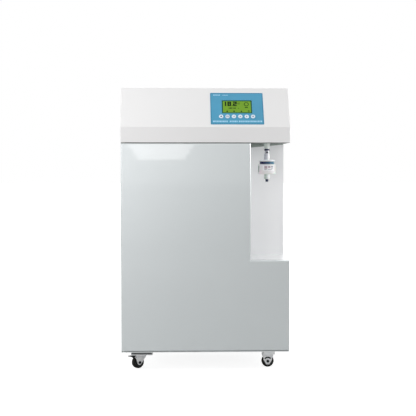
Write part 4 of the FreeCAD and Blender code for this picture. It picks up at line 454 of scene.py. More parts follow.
CAD_MATERIALS = (
    (HEAD, "head_cover"), (HEAD_FLOOR_SHADE, "head_floor"), (DOOR, "front_door"), (PAN, "base_pan"),
    (SIDE, "left_side_panel", "right_side_panel", "rear_panel"), (NICHE, "niche_liner"),
    (BLUE, "control_overlay"), (GREEN, "display_module"), (KEY, *("key_%d" % key for key in range(1, 7))),
    (GALVANISED, "frame_uprights", "mounting_plate"), (FASTENER, "fasteners"), (MAGNET, "door_magnets"),
    (NYLON, "door_bushes"), (TURNED, "door_pivot_pins"), (MILKY, "outlet_fitting"),
    (RING_BLACK, "outlet_ring"), (WHITE, "outlet_connector"), (STUD, "outlet_button"), (CAP, "filter_cap"),
    (TEAL, "filter_ring"), (SHELL, "filter_shell"), (PLEATS, "filter_core"), (NECK, "filter_nozzle"),
    (ZINC, "base_runners", "rigid_forks", "swivel_fork_front", "swivel_fork_rear"),
    # On the castor plates this black is painted shade, for the shadow under them.
    (BLACK, "castor_plates", "brake_pedal_front", "brake_pedal_rear"),
    (NUT_DARK, "swivel_axle_front", "swivel_axle_rear", "rigid_axles"),
    (TYRE, "wheel_front_left", "wheel_front_right", "wheel_rear_left", "wheel_rear_right"),
    (FILTER_BLUE, "prefilter_heads"), (BOWL, "prefilter_bowls"), (HOUSING, "membrane_housings"),
    (POLISHER, "polishing_cartridges"), (CLIP, "unit_clips"), (STAINLESS, "uv_reactor"),
    (PUMP, "water_pumps"), (VALVE, "solenoid_valves"), (CELL, "conductivity_cells"),
    (SUPPLY, "power_supply"), (TUBE, "internal_tubing"), (FITTING, "bulkhead_fittings"),
    (INLET, "power_inlet"), (ROCKER, "power_rocker"), (BOARD, "circuit_boards"),
)
for material, *names in CAD_MATERIALS:
    for name in names:
        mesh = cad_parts[name].data
        mesh.materials.clear()
        mesh.materials.append(material)


# ---------------- mesh helpers, in millimetres
TO_METRES = Matrix.Scale(MM, 4)
# Edges sharper than these angles stay sharp: on most pieces, on fine turned pieces, and on flat marks.
SHARP = 32.0
SHARP_TURNED = 30.0
SHARP_FLAT = 40.0


def moved(x, y, z):
    return Matrix.Translation((x, y, z))


def rotation(degrees, axis):
    return Matrix.Rotation(math.radians(degrees), 4, axis)


def smooth(mesh, sharp):
    for face in mesh.polygons:
        face.use_smooth = True
    mesh.set_sharp_from_angle(angle=math.radians(sharp))


def mesh_in_metres(name, bm, matrix):
    bmesh.ops.recalc_face_normals(bm, faces=bm.faces)
    mesh = bpy.data.meshes.new(name)
    bm.to_mesh(mesh)
    bm.free()
    mesh.transform(TO_METRES @ matrix)
    return mesh


def finish_mesh(name, bm, material, body="cabinet", sharp=SHARP, matrix=Matrix()):
    """Makes an object of a bmesh, smooth but for its sharp edges, on one body."""
    mesh = mesh_in_metres(name, bm, matrix)
    smooth(mesh, sharp)
    for each in material if isinstance(material, list) else [material]:
        mesh.materials.append(each)
    obj = add_object(name, mesh)
    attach(obj, body)
    return obj


def skin(bm, rows, index=0, around=True, closed=True):
    """Joins rows of points with faces: all round each row, and from the last row back to the first."""
    for below, above in zip(rows, rows[1:] + rows[:1] if closed else rows[1:]):
        for number in range(len(below) if around else len(below) - 1):
            after = (number + 1) % len(below)
            face = bm.faces.new((below[number], below[after], above[after], above[number]))
            face.material_index = index


def add_prism(bm, outline, low, high, index=0, edge=0.0):
    """Adds an extruded outline, with its top edge drawn in by a small chamfer."""
    rows = [[bm.verts.new((x, y, low)) for x, y in outline]]
    if edge:
        rows.append([bm.verts.new((x, y, high - edge)) for x, y in outline])
        cx = sum(x for x, _ in outline) / len(outline)
        cy = sum(y for _, y in outline) / len(outline)
        shares = [edge / (math.hypot(x - cx, y - cy) or 1.0) for x, y in outline]
        outline = [(x - (x - cx) * share, y - (y - cy) * share) for (x, y), share in zip(outline, shares)]
    rows.append([bm.verts.new((x, y, high)) for x, y in outline])
    for cover in (rows[0][::-1], rows[-1]):
        bm.faces.new(cover).material_index = index
    skin(bm, rows, index, closed=False)


def rounded(x0, x1, y0, y1, radius, steps=2):
    """A rectangle's outline with round corners."""
    radius = min(radius, (x1 - x0) / 2.001, (y1 - y0) / 2.001)
    left, right, low, high = x0 + radius, x1 - radius, y0 + radius, y1 - radius
    points = []
    for cx, cy, start in ((right, high, 0), (left, high, 90), (left, low, 180), (right, low, 270)):
        for step in range(steps + 1):
            angle = math.radians(start + 90 * step / steps)
            points.append((cx + radius * math.cos(angle), cy + radius * math.sin(angle)))
    return points


def circle(cx, cy, radius, steps, turn=0.0):
    angles = [math.radians(turn + 360 * number / steps) for number in range(steps)]
    return [(cx + radius * math.cos(angle), cy + radius * math.sin(angle)) for angle in angles]


def ring_profile(inner, outer, low, high):
    """The profile of a plain ring."""
    return [(outer, low), (outer, high), (inner, high), (inner, low)]


def add_lathe(bm, profile, steps, shape=None, index=0, centre=(0.0, 0.0)):
    """Adds a turned form from (radius, z) points. shape may change the radius by angle."""
    rows = []
    for radius, z in profile:
        row = []
        for number in range(steps):
            angle = 2 * math.pi * number / steps
            r = shape(radius, angle) if shape else radius
            row.append(bm.verts.new((centre[0] + r * math.cos(angle), centre[1] + r * math.sin(angle), z)))
        rows.append(row)
    skin(bm, rows, index)


def fluted(count, depth, beyond=0.0):
    """A lathe's shape with flutes or grips round it, where its radius is past a value."""

    def shape(radius, angle):
        return radius - depth * (0.5 + 0.5 * math.cos(count * angle)) if radius > beyond else radius

    return shape


def turned_piece(name, parts, material, body="cabinet", sharp=SHARP, matrix=Matrix()):
    """A piece made of turned forms. Each part holds a profile, its steps and any shape and material index."""
    bm = bmesh.new()
    for part in parts:
        add_lathe(bm, *part)
    return finish_mesh(name, bm, material, body, sharp, matrix)


def extruded_piece(
    name, outlines, low, high, material, body="cabinet", sharp=SHARP, matrix=Matrix(), edge=0.0
):
    """A piece made of extruded outlines."""
    bm = bmesh.new()
    for outline in outlines:
        add_prism(bm, outline, low, high, edge=edge)
    finish_mesh(name, bm, material, body, sharp, matrix)


def cut_pocket(obj, outline, low, high, matrix):
    """Cuts a prism out of a piece and keeps the plain mesh that this leaves."""
    bm = bmesh.new()
    add_prism(bm, outline, low, high)
    mesh = mesh_in_metres("pocket_cutter", bm, matrix)
    cutter = add_object("pocket_cutter", mesh)
    cut = obj.modifiers.new("pocket", "BOOLEAN")
    cut.object = cutter
    cut.operation = "DIFFERENCE"
    cut.solver = "EXACT"
    bpy.context.view_layer.update()
    left = bpy.data.meshes.new_from_object(obj.evaluated_get(bpy.context.evaluated_depsgraph_get()))
    obj.modifiers.clear()
    obj.data = left
    left.name = obj.name
    smooth(left, SHARP)
    bpy.data.objects.remove(cutter)
    bpy.data.meshes.remove(mesh)


# ---------------- control panel
# The panel's own plane: x to the right, y up the slope, and z out of it. The slope starts over the band.
HEAD_FRONT = -240.0
SLOPE_LOW = 785.0
SLOPE_RISE = 130.0
SLOPE_RUN = 85.0
ON_SLOPE = moved(0, HEAD_FRONT, SLOPE_LOW) @ Matrix.Rotation(math.atan2(SLOPE_RISE, SLOPE_RUN), 4, "X")
FILM = (17.0, 188.0, 10.0, 135.0)
WINDOW = (54.0, 151.5, 53.5, 105.5)
GLASS_TOP = 0.0
FILM_TOP = 0.6
KEY_HEIGHT = 1.6
KEY_FIRST_X = 51.0
KEY_PITCH = 20.5
KEY_Y = 40.5
# How far a mark starts under its surface, so that no gap shows, and how far it stands out.
SINK = 0.1
PRINT_RISE = 0.04
EDGE_RISE = 0.03
RIM_RISE = 0.35
GLASS_SINK = 0.05
GLASS_RISE = 0.06
# Rows of print: from, to, foot, top, the widths of its blocks, and the gap between them.
PRINT_ROWS = (
    (27.0, 55.0, 124.2, 128.0, (5.0, 3.0, 3.6, 2.4, 4.4), 1.0),
    (57.5, 76.0, 124.6, 127.2, (2.4, 1.8, 2.8, 2.0), 0.9),
    (24.5, 72.0, 18.8, 24.8, (6.0, 3.2, 4.2, 2.6, 5.2, 3.8), 1.1),
    (78.0, 103.5, 19.0, 24.6, (5.4, 3.0, 4.0), 1.1),
    (107.0, 184.0, 18.8, 24.8, (4.8, 3.4, 2.6, 4.0, 3.0), 1.1),
)
PRINT_CORNER = 0.5


def marks(name, shapes, surface, rise, material, body="cabinet", at=(0.0, 0.0), sink=SINK):
    """Thin shapes that stand out of a surface which is parallel to the panel's plane."""
    place = ON_SLOPE @ moved(*at, 0.0)
    extruded_piece(name, shapes, surface - sink, surface + rise, material, body, SHARP_FLAT, place)


def dash_row(start, end, low, high, widths, gap):
    """A row of short blocks of uneven width, which fills start..end."""
    shapes = []
    x = start
    while x + widths[len(shapes) % len(widths)] <= end:
        width = widths[len(shapes) % len(widths)]
        shapes.append(rounded(x, x + width, low, high, PRINT_CORNER))
        x += width + gap
    return shapes


def frame_strips(box, inset, width):
    """Four strips that frame a box, a little inside its edge."""
    x0, x1, y0, y1 = box[0] + inset, box[1] - inset, box[2] + inset, box[3] - inset
    strips = (
        (x0, x1, y0, y0 + width), (x0, x1, y1 - width, y1), (x0, x0 + width, y0 + width, y1 - width),
        (x1 - width, x1, y0 + width, y1 - width),
    )
    return [[(left, low), (right, low), (right, high), (left, high)] for left, right, low, high in strips]


print_blocks = [block for row in PRINT_ROWS for block in dash_row(*row)]
marks("panel_print", print_blocks, FILM_TOP, PRINT_RISE, PRINT)
marks("display_rim", frame_strips(WINDOW, inset=0.4, width=3.4), GLASS_TOP, RIM_RISE, GREEN_RIM)
marks("panel_border", frame_strips(FILM, inset=1.2, width=1.6), FILM_TOP, EDGE_RISE, BLUE_EDGE)

# The display's reading in seven-segment digits, and small generic signs.
DIGIT_FOOT = 82.5
DIGIT_HEIGHT = 17.5
DIGIT_CORNER = 1.3
# The digits, and each one's left edge, width and stroke.
READING = (("1", 59.8, 9.0, 4.8), ("8", 72.4, 12.0, 4.2), ("2", 90.6, 12.0, 4.2))
POINT_X = 86.2
POINT_SIZE = 3.2
# Dark signs under the reading: blocks (left, right, foot, top and corner radius), and a dot.
DARK_BLOCKS = ((81.0, 85.5, 72.0, 77.0, 0.8), (89.0, 91.5, 72.0, 77.0, 0.6))
DOT = circle(71.0, 62.0, 2.6, 16)
LIT_SEGMENTS = {"1": "bc", "2": "abged", "8": "abcdefg"}


def digit_strokes(digit, x, width, stroke):
    """The lit strokes of one digit, whose left edge is at x."""
    foot, middle, top = DIGIT_FOOT, DIGIT_FOOT + DIGIT_HEIGHT / 2, DIGIT_FOOT + DIGIT_HEIGHT
    layout = {
        "a": (x, x + width, top - stroke, top),
        "g": (x, x + width, middle - stroke / 2, middle + stroke / 2),
        "d": (x, x + width, foot, foot + stroke),
        "f": (x, x + stroke, middle, top),
        "b": (x + width - stroke, x + width, middle, top),
        "e": (x, x + stroke, foot, middle),
        "c": (x + width - stroke, x + width, foot, middle),
    }
    return [rounded(*layout[name], DIGIT_CORNER, 3) for name in LIT_SEGMENTS[digit]]


reading = [shape for digit in READING for shape in digit_strokes(*digit)]
reading += [rounded(POINT_X, POINT_X + POINT_SIZE, DIGIT_FOOT, DIGIT_FOOT + POINT_SIZE, DIGIT_CORNER, 3)]
reading += [rounded(*block) for block in DARK_BLOCKS] + [DOT]
marks("display_reading", reading, GLASS_TOP, GLASS_RISE, DIGIT, sink=GLASS_SINK)

# The display's faint signs: blocks, given as above, an arrow and a round gauge.
SIGN_BLOCKS = (
    (105.5, 107.3, 89.0, 96.5, 0.5), (108.8, 113.0, 93.8, 96.0, 0.5), (108.8, 111.5, 89.0, 91.4, 0.5),
    (76.0, 79.0, 72.5, 76.5, 0.6), (93.5, 99.0, 72.5, 76.5, 0.6), (106.0, 110.0, 73.0, 75.0, 0.5),
    (128.0, 138.5, 75.5, 79.0, 0.6), (90.0, 96.0, 60.5, 63.5, 0.8), (91.8, 94.2, 58.8, 65.4, 0.8),
    (137.0, 143.5, 59.5, 61.5, 0.5), (137.0, 143.5, 63.5, 65.5, 0.5),
)
SIGN_ARROW = [(113.5, 59.0), (120.0, 59.0), (116.8, 66.0)]
GAUGE_INNER = 5.6
GAUGE_OUTER = 8.0
GAUGE_PLACE = (133.5, 90.0, 0.0)
signs = [rounded(*block) for block in SIGN_BLOCKS] + [SIGN_ARROW]
marks("display_signs", signs, GLASS_TOP, GLASS_RISE, FAINT, sink=GLASS_SINK)
gauge = ring_profile(GAUGE_INNER, GAUGE_OUTER, GLASS_TOP - GLASS_SINK, GLASS_TOP + GLASS_RISE)
turned_piece("display_gauge", [(gauge, 32)], FAINT, sharp=SHARP_FLAT, matrix=ON_SLOPE @ moved(*GAUGE_PLACE))

# A plain sign on each key: a block, three bars, an arrow to the left, up and to the right, and a disc.
KEY_SIGNS = (
    [rounded(-2.6, 2.6, -2.4, 2.4, 0.9, 3)],
    [rounded(-4.6, 4.6, low, low + 1.0, 0.4) for low in (-3.0, -0.5, 2.0)],
    [[(1.8, -2.6), (1.8, 2.6), (-2.6, 0.0)]],
    [[(-2.5, -1.8), (2.5, -1.8), (0.0, 2.8)]],
    [[(-1.8, -2.6), (2.6, 0.0), (-1.8, 2.6)]],
    [circle(0.0, 0.0, 2.4, 20)],
)
KEY_TOP = FILM_TOP + KEY_HEIGHT
for number, shapes in enumerate(KEY_SIGNS, 1):
    at = (KEY_FIRST_X + KEY_PITCH * (number - 1), KEY_Y)
    marks("key_symbol_%d" % number, shapes, KEY_TOP, EDGE_RISE, SYMBOL, "key_%d" % number, at)

# ---------------- dispensing outlet
# Heights of its pieces, which hang one under the other. Each profile is measured from its own top.
HEAD_UNDERSIDE = 735.0
COUPLER_TOP = 711.3
COUPLER_HEIGHT = 30.0
CAP_TOP = COUPLER_TOP - COUPLER_HEIGHT
CAP_HEIGHT = 5.5
BAND_TOP = CAP_TOP - CAP_HEIGHT
BAND_HEIGHT = 9.0
NECK_TOP = 633.8
NECK_HEIGHT = 16.0
TIP_HEIGHT = 8.5
THREAD_STEP = 0.75
THREAD_STEPS = 20


def at_outlet(height):
    return moved(OUTLET_X, OUTLET_Y, height)


nut = [(6.5, 0.0), (10.5, 0.0), (10.5, -2.4), (9.9, -3.2), (8.6, -13.6), (8.0, -15.0), (6.5, -15.0)]
stem = [(3.0, 0.0), (6.5, 0.0), (6.5, -18.0), (3.0, -18.0)]
locknut = [(6.0, 1.0), (12.0, 1.0), (12.0, 7.0), (6.0, 7.0)]
thread = [(3.5, 0.0)]
thread += [(6.0 if step % 2 else 5.3, THREAD_STEP * step) for step in range(THREAD_STEPS + 1)]
thread += [(3.5, THREAD_STEP * THREAD_STEPS)]
nut_parts = [(nut, 96, fluted(16, 0.7)), (stem, 48), (locknut, 48), (thread, 40)]
outlet_nut = turned_piece("outlet_nut", nut_parts, MILKY, matrix=at_outlet(HEAD_UNDERSIDE))
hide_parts("outlet_fitting")

coupler = [
    (0.5, 0.0), (6.6, 0.0), (7.5, -0.7), (7.5, -4.5), (6.9, -4.9), (6.9, -5.7), (7.5, -6.1), (7.5, -9.7),
    (6.9, -10.9), (6.9, -11.5), (8.4, -11.5), (9.2, -12.5), (9.2, -17.9), (8.7, -18.3), (8.7, -19.1),
    (9.2, -19.5), (9.2, -25.9), (8.8, -26.3), (8.8, -27.1), (9.2, -27.5), (9.2, -COUPLER_HEIGHT),
    (0.5, -COUPLER_HEIGHT),
]
connector = turned_piece("outlet_coupler", [(coupler, 72)], WHITE, matrix=at_outlet(COUPLER_TOP))
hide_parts("outlet_connector")

# The release button: a domed cap with a ring of grips, in its own pocket in the coupler's front.
BUTTON_DROP = 5.75
BUTTON_FOOT = 4.8
BUTTON_RADIUS = 3.3
POCKET_RADIUS = 3.55
POCKET_DEPTH = 1.2
POCKET_REACH = 6.0
TO_FRONT = moved(OUTLET_X, OUTLET_Y - BUTTON_FOOT, COUPLER_TOP - BUTTON_DROP) @ rotation(90, "X")
cut_pocket(connector, circle(0.0, 0.0, POCKET_RADIUS, 48), -POCKET_DEPTH, POCKET_REACH, TO_FRONT)
button = [
    (0.2, 0.0), (BUTTON_RADIUS, 0.0), (BUTTON_RADIUS, 2.9), (2.9, 3.6), (2.1, 3.85), (1.9, 3.6), (0.2, 3.55),
]
grips = fluted(16, 0.16, beyond=BUTTON_RADIUS - 0.1)
button_cap = turned_piece("release_button", [(button, 48, grips)], STUD, "outlet_button", matrix=TO_FRONT)
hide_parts("outlet_button")

cap = [
    (1.0, 0.0), (22.0, 0.0), (24.6, -0.3), (25.8, -1.3), (25.8, -4.5), (25.2, -5.3), (24.0, -CAP_HEIGHT),
    (1.0, -CAP_HEIGHT),
]
cap_grips = fluted(48, 0.35, beyond=25.0)
filter_cap = turned_piece("capsule_cap", [(cap, 144, cap_grips)], CAP, matrix=at_outlet(CAP_TOP))
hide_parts("filter_cap")

band = [
    (1.0, 0.0), (23.0, 0.0), (23.8, -0.6), (23.8, -2.6), (23.2, -3.2), (23.2, -5.8), (23.8, -6.4),
    (23.8, -8.4), (23.2, -BAND_HEIGHT), (1.0, -BAND_HEIGHT),
]
band_grips = fluted(36, 0.5, beyond=22.0)
filter_band = turned_piece("capsule_band", [(band, 144, band_grips)], TEAL, matrix=at_outlet(BAND_TOP))
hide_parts("filter_ring")

# The capsule's label: a curved sheet on the shell, a little left of the front, with plain blocks on it.
SHELL_R = 28.4
LABEL_SPAN = (-124.0, -40.0)
LABEL_HEIGHTS = (645.0, 663.5)
LABEL_THICKNESS = 0.12
# Blocks on the label: from and to in degrees round the axis, foot, top, and which ink.
LABEL_BLOCKS = (
    (-112.0, -92.0, 652.0, 661.0, 1), (-87.0, -71.0, 654.5, 661.0, 1), (-66.0, -50.0, 656.0, 661.0, 2),
    (-112.0, -96.0, 648.0, 650.0, 2), (-90.0, -58.0, 648.5, 650.0, 2), (-66.0, -52.0, 652.0, 653.5, 2),
)
BLOCK_SINK = 0.02
BLOCK_THICKNESS = 0.06
# A thin grey-green strip down the capsule's left edge: painted shade along that edge.
EDGE_SHADE_SPAN = (-186.0, -157.0)
EDGE_SHADE_HEIGHTS = (641.0, 661.5)
EDGE_SHADE_THICKNESS = 0.35


def curved_patch(bm, radius, span, heights, thickness, index=0, steps=20):
    """A patch of a cylinder round the outlet's axis, from one angle to another."""
    start, end = span
    angles = [math.radians(start + (end - start) * step / steps) for step in range(steps + 1)]
    rows = []
    for r, z in ring_profile(radius, radius + thickness, *heights):
        rows.append([bm.verts.new((r * math.cos(angle), r * math.sin(angle), z)) for angle in angles])
    skin(bm, rows, index, around=False)
    for cover in ([row[0] for row in rows], [row[-1] for row in rows][::-1]):
        bm.faces.new(cover).material_index = index


bm = bmesh.new()
curved_patch(bm, SHELL_R, LABEL_SPAN, LABEL_HEIGHTS, LABEL_THICKNESS)
block_radius = SHELL_R + LABEL_THICKNESS - BLOCK_SINK
for start, end, low, high, index in LABEL_BLOCKS:
    curved_patch(bm, block_radius, (start, end), (low, high), BLOCK_THICKNESS, index, 8)
finish_mesh("capsule_label", bm, [LABEL, LABEL_PINK, LABEL_GREY], matrix=at_outlet(0.0))
# The strip of painted shade on the capsule's left edge.
bm = bmesh.new()
curved_patch(bm, SHELL_R - SINK, EDGE_SHADE_SPAN, EDGE_SHADE_HEIGHTS, EDGE_SHADE_THICKNESS)
finish_mesh("capsule_edge_shade_strip", bm, CAPSULE_EDGE_SHADE, matrix=at_outlet(0.0))

# The shell's own rims, and the end plates of the pleated pack inside it.
RIM_R = SHELL_R + 0.6
PACK_R = 24.4
RIM_HEIGHTS = ((665.4, 666.6), (636.8, 637.6))
PACK_END_HEIGHTS = ((663.6, 666.4), (636.2, 638.8))
rims = [(ring_profile(SHELL_R, RIM_R, low, high), 96) for low, high in RIM_HEIGHTS]
turned_piece("shell_rims", rims, SHELL, matrix=at_outlet(0.0))
plates = [(ring_profile(1.0, PACK_R, low, high), 72) for low, high in PACK_END_HEIGHTS]
turned_piece("pack_ends", plates, CAP, matrix=at_outlet(0.0))

neck = [
    (3.0, 0.0), (9.2, 0.0), (9.2, -4.2), (8.4, -4.8), (8.4, -6.2), (9.2, -6.8), (9.2, -13.4), (8.6, -15.4),
    (6.6, -NECK_HEIGHT), (3.0, -NECK_HEIGHT),
]
tip = [
    (3.0, 0.0), (4.8, 0.0), (4.7, -2.4), (5.0, -2.8), (4.5, -4.8), (4.8, -5.2), (4.2, -TIP_HEIGHT),
    (3.0, -TIP_HEIGHT),
]
tip = [(radius, z - NECK_HEIGHT) for radius, z in tip]
nozzle_parts = [(neck, 96, fluted(12, 0.45)), (tip, 48, None, 1)]
nozzle = turned_piece("capsule_nozzle", nozzle_parts, [NECK, TIP], matrix=at_outlet(NECK_TOP))
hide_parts("filter_nozzle")

# ---------------- castors
WHEEL_RADIUS = 20.0
SWIVEL_TRAIL = 18.0
SWIVEL_X = -204.8
RIGID_X = 207.0
FORK_SIDE = 11.5
NUT_RADIUS = 4.5
NUT_TURN = 15
NUT_HEIGHT = 2.1
# The castors' ends, their distance from the middle, and how far each swivel castor is turned at rest.
CASTORS = (("front", -163.0, -145.0), ("rear", 160.0, -160.0))


def on_axle(castor, trail):
    """A wheel's place in a castor's frame, with its axle as the lathe's axis."""
    return castor @ moved(trail, 0.0, WHEEL_RADIUS) @ rotation(90, "X")


def mirrored(profile):
    """A profile and its mirror image on the other side of the wheel's middle plane."""
    return profile + [(radius, -z) for radius, z in profile[::-1]]


def add_wheel(name, place):
    """A wheel whose tyre has a crowned tread with two grooves, and a dished centre."""
    tread = mirrored([
        (14.5, -7.6), (16.4, -8.0), (18.4, -7.6), (19.5, -6.4), (19.9, -5.0), (19.95, -3.2), (19.3, -2.9),
        (19.3, -2.3), (WHEEL_RADIUS, -2.0),
    ])
    centre = mirrored([
        (3.05, -9.3), (6.4, -9.3), (7.0, -8.8), (7.0, -4.2), (8.0, -3.2), (12.2, -3.6), (13.2, -6.2),
        (14.5, -7.0),
    ])
    tyre = turned_piece(name + "_tyre", [(tread, 96)], TYRE, name, SHARP_TURNED, place)
    turned_piece(name + "_centre", [(centre, 72)], WHEEL_CENTRE, name, SHARP_TURNED, place)
    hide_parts(name)


def add_axle_ends(name, body, place):
    """A hexagon nut with the bolt's end at one side of the fork, and a round head at the other."""
    hexagon = circle(0.0, 0.0, NUT_RADIUS, 6, NUT_TURN)
    bolt_end = [(0.2, 13.4), (2.4, 13.4), (2.4, 14.1), (0.2, 14.5)]
    head = [(0.2, -FORK_SIDE), (4.4, -FORK_SIDE), (4.4, -12.6), (3.4, -13.8), (0.2, -14.0)]
    bm = bmesh.new()
    add_prism(bm, hexagon, FORK_SIDE, FORK_SIDE + NUT_HEIGHT, edge=0.4)
    add_lathe(bm, bolt_end, 24)
    finish_mesh(name + "_nut", bm, NUT_DARK, body, SHARP_TURNED, place)
    turned_piece(name + "_head", [(head, 32)], NUT_DARK, body, SHARP_TURNED, place)


# The brake pedal's three ridges: each is further from the king pin and a little longer than the last.
RIDGE_START = 38.6
RIDGE_STEP = 2.4
RIDGE_WIDTH = 1.1
RIDGE_HALF = 12.4
RIDGE_GROWTH = 0.5
RIDGE_FOOT = 41.3
RIDGE_TOP = 42.0
# The raceway under the castor's plate, and the cup that turns with the fork.
RACE = ring_profile(12.4, 15.2, 48.62, 49.05)
CUP = [(8.0, 48.3), (22.6, 48.3), (23.4, 47.8), (23.4, 46.9), (20.6, 45.0), (16.0, 43.0), (8.0, 43.0)]

for end, y, turn in CASTORS:
    place = moved(SWIVEL_X, y, 0.0) @ rotation(turn, "Z")
    axle = on_axle(place, SWIVEL_TRAIL)
    add_wheel("wheel_%s_left" % end, axle)
    add_axle_ends("swivel_%s_axle" % end, "swivel_%s" % end, axle)
    ridges = []
    for number in range(3):
        near = RIDGE_START + RIDGE_STEP * number
        half = RIDGE_HALF + RIDGE_GROWTH * number
        ridges.append(rounded(near, near + RIDGE_WIDTH, -half, half, 0.5, 3))
    pedal = "pedal_%s" % end
    extruded_piece(pedal + "_ridges", ridges, RIDGE_FOOT, RIDGE_TOP, BLACK, pedal, SHARP_FLAT, place)
    turned_piece("race_%s" % end, [(RACE, 48)], TURNED, sharp=SHARP_FLAT, matrix=place)
    turned_piece("cup_%s" % end, [(CUP, 72)], ZINC, "swivel_%s" % end, SHARP_TURNED, place)
for end, y, _ in CASTORS:
    axle = on_axle(moved(RIGID_X, y, 0.0), 0.0)
    add_wheel("wheel_%s_right" % end, axle)
    add_axle_ends("rigid_%s_axle" % end, "cabinet", axle)

# The rigid castors' runners end in closing tabs, whose front faces are at these places.
TAB_FACES = (("front", -228.0), ("rear", 206.8))
TAB_LEFT = 191.2
TAB_RIGHT = 222.8
TAB_FOOT = 54.0
TAB_TOP = 62.8
TAB_THICKNESS = 1.2
TAB_CORNER = 0.4
for end, y in TAB_FACES:
    tab = rounded(TAB_LEFT, TAB_RIGHT, y, y + TAB_THICKNESS, TAB_CORNER)
    extruded_piece("runner_tab_%s" % end, [tab], TAB_FOOT, TAB_TOP, ZINC)

# A sloped dark strip tops the recess's back wall: painted shadow, a dark sheet for the wedge of shade under
# the head.
WEDGE_TOP = HEAD_UNDERSIDE - 0.1
# How far the strip's back is in front of the cabinet's middle.
WEDGE_BACK = 50.1
WEDGE_THICKNESS = 1.9
shadow_wedge_outline = [(145.5, 721.9), (268.6, 732.8), (268.6, WEDGE_TOP), (145.5, WEDGE_TOP)]
wedge_front = WEDGE_BACK + WEDGE_THICKNESS
extruded_piece("recess_shadow_wedge", [shadow_wedge_outline], WEDGE_BACK, wedge_front, SHADOW_WEDGE, matrix=rotation(90, "X"))

# ---------------- back: collets and screws
TO_BACK = rotation(-90, "X")
PORT_XS = (-211.36, -65.0, 0.0, 67.5)
PORT_Y = 240.0
PORT_Z = 123.0
collet = [(3.3, -1.0), (5.6, -1.0), (6.4, -0.6), (6.4, -0.1), (3.6, -0.1), (3.3, -0.4)]
for number, x in enumerate(PORT_XS):
    place = moved(x, PORT_Y, PORT_Z) @ TO_BACK
    turned_piece("port_collet_%d" % number, [(collet, 48)], COLLET, sharp=SHARP_TURNED, matrix=place)

INLET_PLACE = (200.0, 222.4, 150.0)
SCREW_SIDE = 17.0
SCREW_UP = 29.0
SCREW_HEAD = [(0.2, 0.0), (2.6, 0.0), (2.6, 0.5), (1.6, 1.1), (0.2, 1.2)]
corners = [(side * SCREW_SIDE, up * SCREW_UP) for side in (-1, 1) for up in (-1, 1)]
screws = [(SCREW_HEAD, 32, None, 0, corner) for corner in corners]
turned_piece("inlet_screws", screws, TURNED, sharp=SHARP_TURNED, matrix=moved(*INLET_PLACE) @ TO_BACK)

# ---------------- inside, behind the door
# Bowls: a screw collar with grips, and ribs round the bowl.
BOWL_XS = (-211.36, -133.08, -54.8)
BOWL_Y = -85.14
RIB_TOPS = (600.0, 560.0, 520.0, 480.0, 440.0)
collar = [(33.0, 659.0), (36.6, 659.0), (36.6, 643.0), (35.1, 640.5), (33.0, 640.5)]
bowl_parts = [(collar, 120, fluted(30, 0.9, beyond=36.0))]
bowl_parts += [([(33.5, z), (34.6, z - 0.6), (34.6, z - 2.0), (33.5, z - 2.6)], 72) for z in RIB_TOPS]
for number, x in enumerate(BOWL_XS):
    turned_piece("bowl_collar_%d" % number, bowl_parts, BOWL, matrix=moved(x, BOWL_Y, 0.0))


# End caps and bands on the lying units, and the cooling ribs of the pumps' motors.
def rings_along(name, start, radius, places, width, rise, material):
    """Rings round a lying unit, at places along it from its left end."""
    rings = []
    for low in places:
        high = low + width
        outside = radius + rise
        ring = [(radius - 0.6, low), (outside, low + 0.3), (outside, high - 0.3), (radius - 0.6, high)]
        rings.append((ring, 72))
    turned_piece(name, rings, material, sharp=SHARP_TURNED, matrix=moved(*start) @ rotation(90, "Y"))


MEMBRANE_ENDS = (4.0, 26.0, 268.0, 290.0)
REACTOR_ENDS = (6.0, 18.0, 296.0, 308.0)
MOTOR_RIBS = [12.0 + 7.0 * number for number in range(10)]
# Name, the axis's left end, the unit's radius, the rings' places, their width and rise, and material.
RINGED_UNITS = (
    ("membrane_caps_0", (-256.5, -78.0, 123.0), 28.0, MEMBRANE_ENDS, 6.0, 1.6, HOUSING),
    ("membrane_caps_1", (-256.5, -78.0, 189.0), 28.0, MEMBRANE_ENDS, 6.0, 1.6, HOUSING),
    ("reactor_bands", (-256.5, -82.0, 263.0), 32.0, REACTOR_ENDS, 5.0, 1.2, STAINLESS),
    ("booster_ribs", (168.5, -140.0, 123.0), 40.0, MOTOR_RIBS, 2.4, 1.0, PUMP),
    ("circulator_ribs", (-226.5, 60.0, 123.0), 34.0, MOTOR_RIBS, 2.4, 1.0, PUMP),
)
for unit in RINGED_UNITS:
    rings_along(*unit)

POLISHER_XS = (101.54, 35.62)
POLISHER_Y = -79.96
POLISHER_BANDS = ((402.0, 412.0), (662.0, 672.0))
bands = []
for x in POLISHER_XS:
    for low, high in POLISHER_BANDS:
        band = [(29.4, low), (30.9, low + 0.8), (30.9, high - 0.8), (29.4, high)]
        bands.append((band, 72, None, 0, (x, POLISHER_Y)))
turned_piece("polisher_bands", bands, FILTER_BLUE)

valve_coil = rounded(-225.2, -197.8, -27.8, -0.2, 2.0, 3)
extruded_piece("valve_coil", [valve_coil], 388.0, 411.0, COIL, edge=1.0)

# Small parts on the main board's back, at random near a grid's points: a can, a chip or a coil.
PARTS_LEFT = 78.0
PARTS_FOOT = 560.0
PARTS_PITCH = (24.0, 26.0)
PARTS_DRIFT = 4
# A chip's and a coil's half width, half height, depth, corner radius and chamfer.
BOARD_BLOCKS = {1: (5.0, 3.5, 2.4, 0.4, 0.3), 2: (2.0, 1.2, 1.2, 0.3, 0.2)}
CAN_PROFILE = [(0.3, 0.0), (4.0, 0.0), (4.0, 9.0), (3.4, 9.6), (0.3, 9.6)]
BOARD_BACK = -28.4
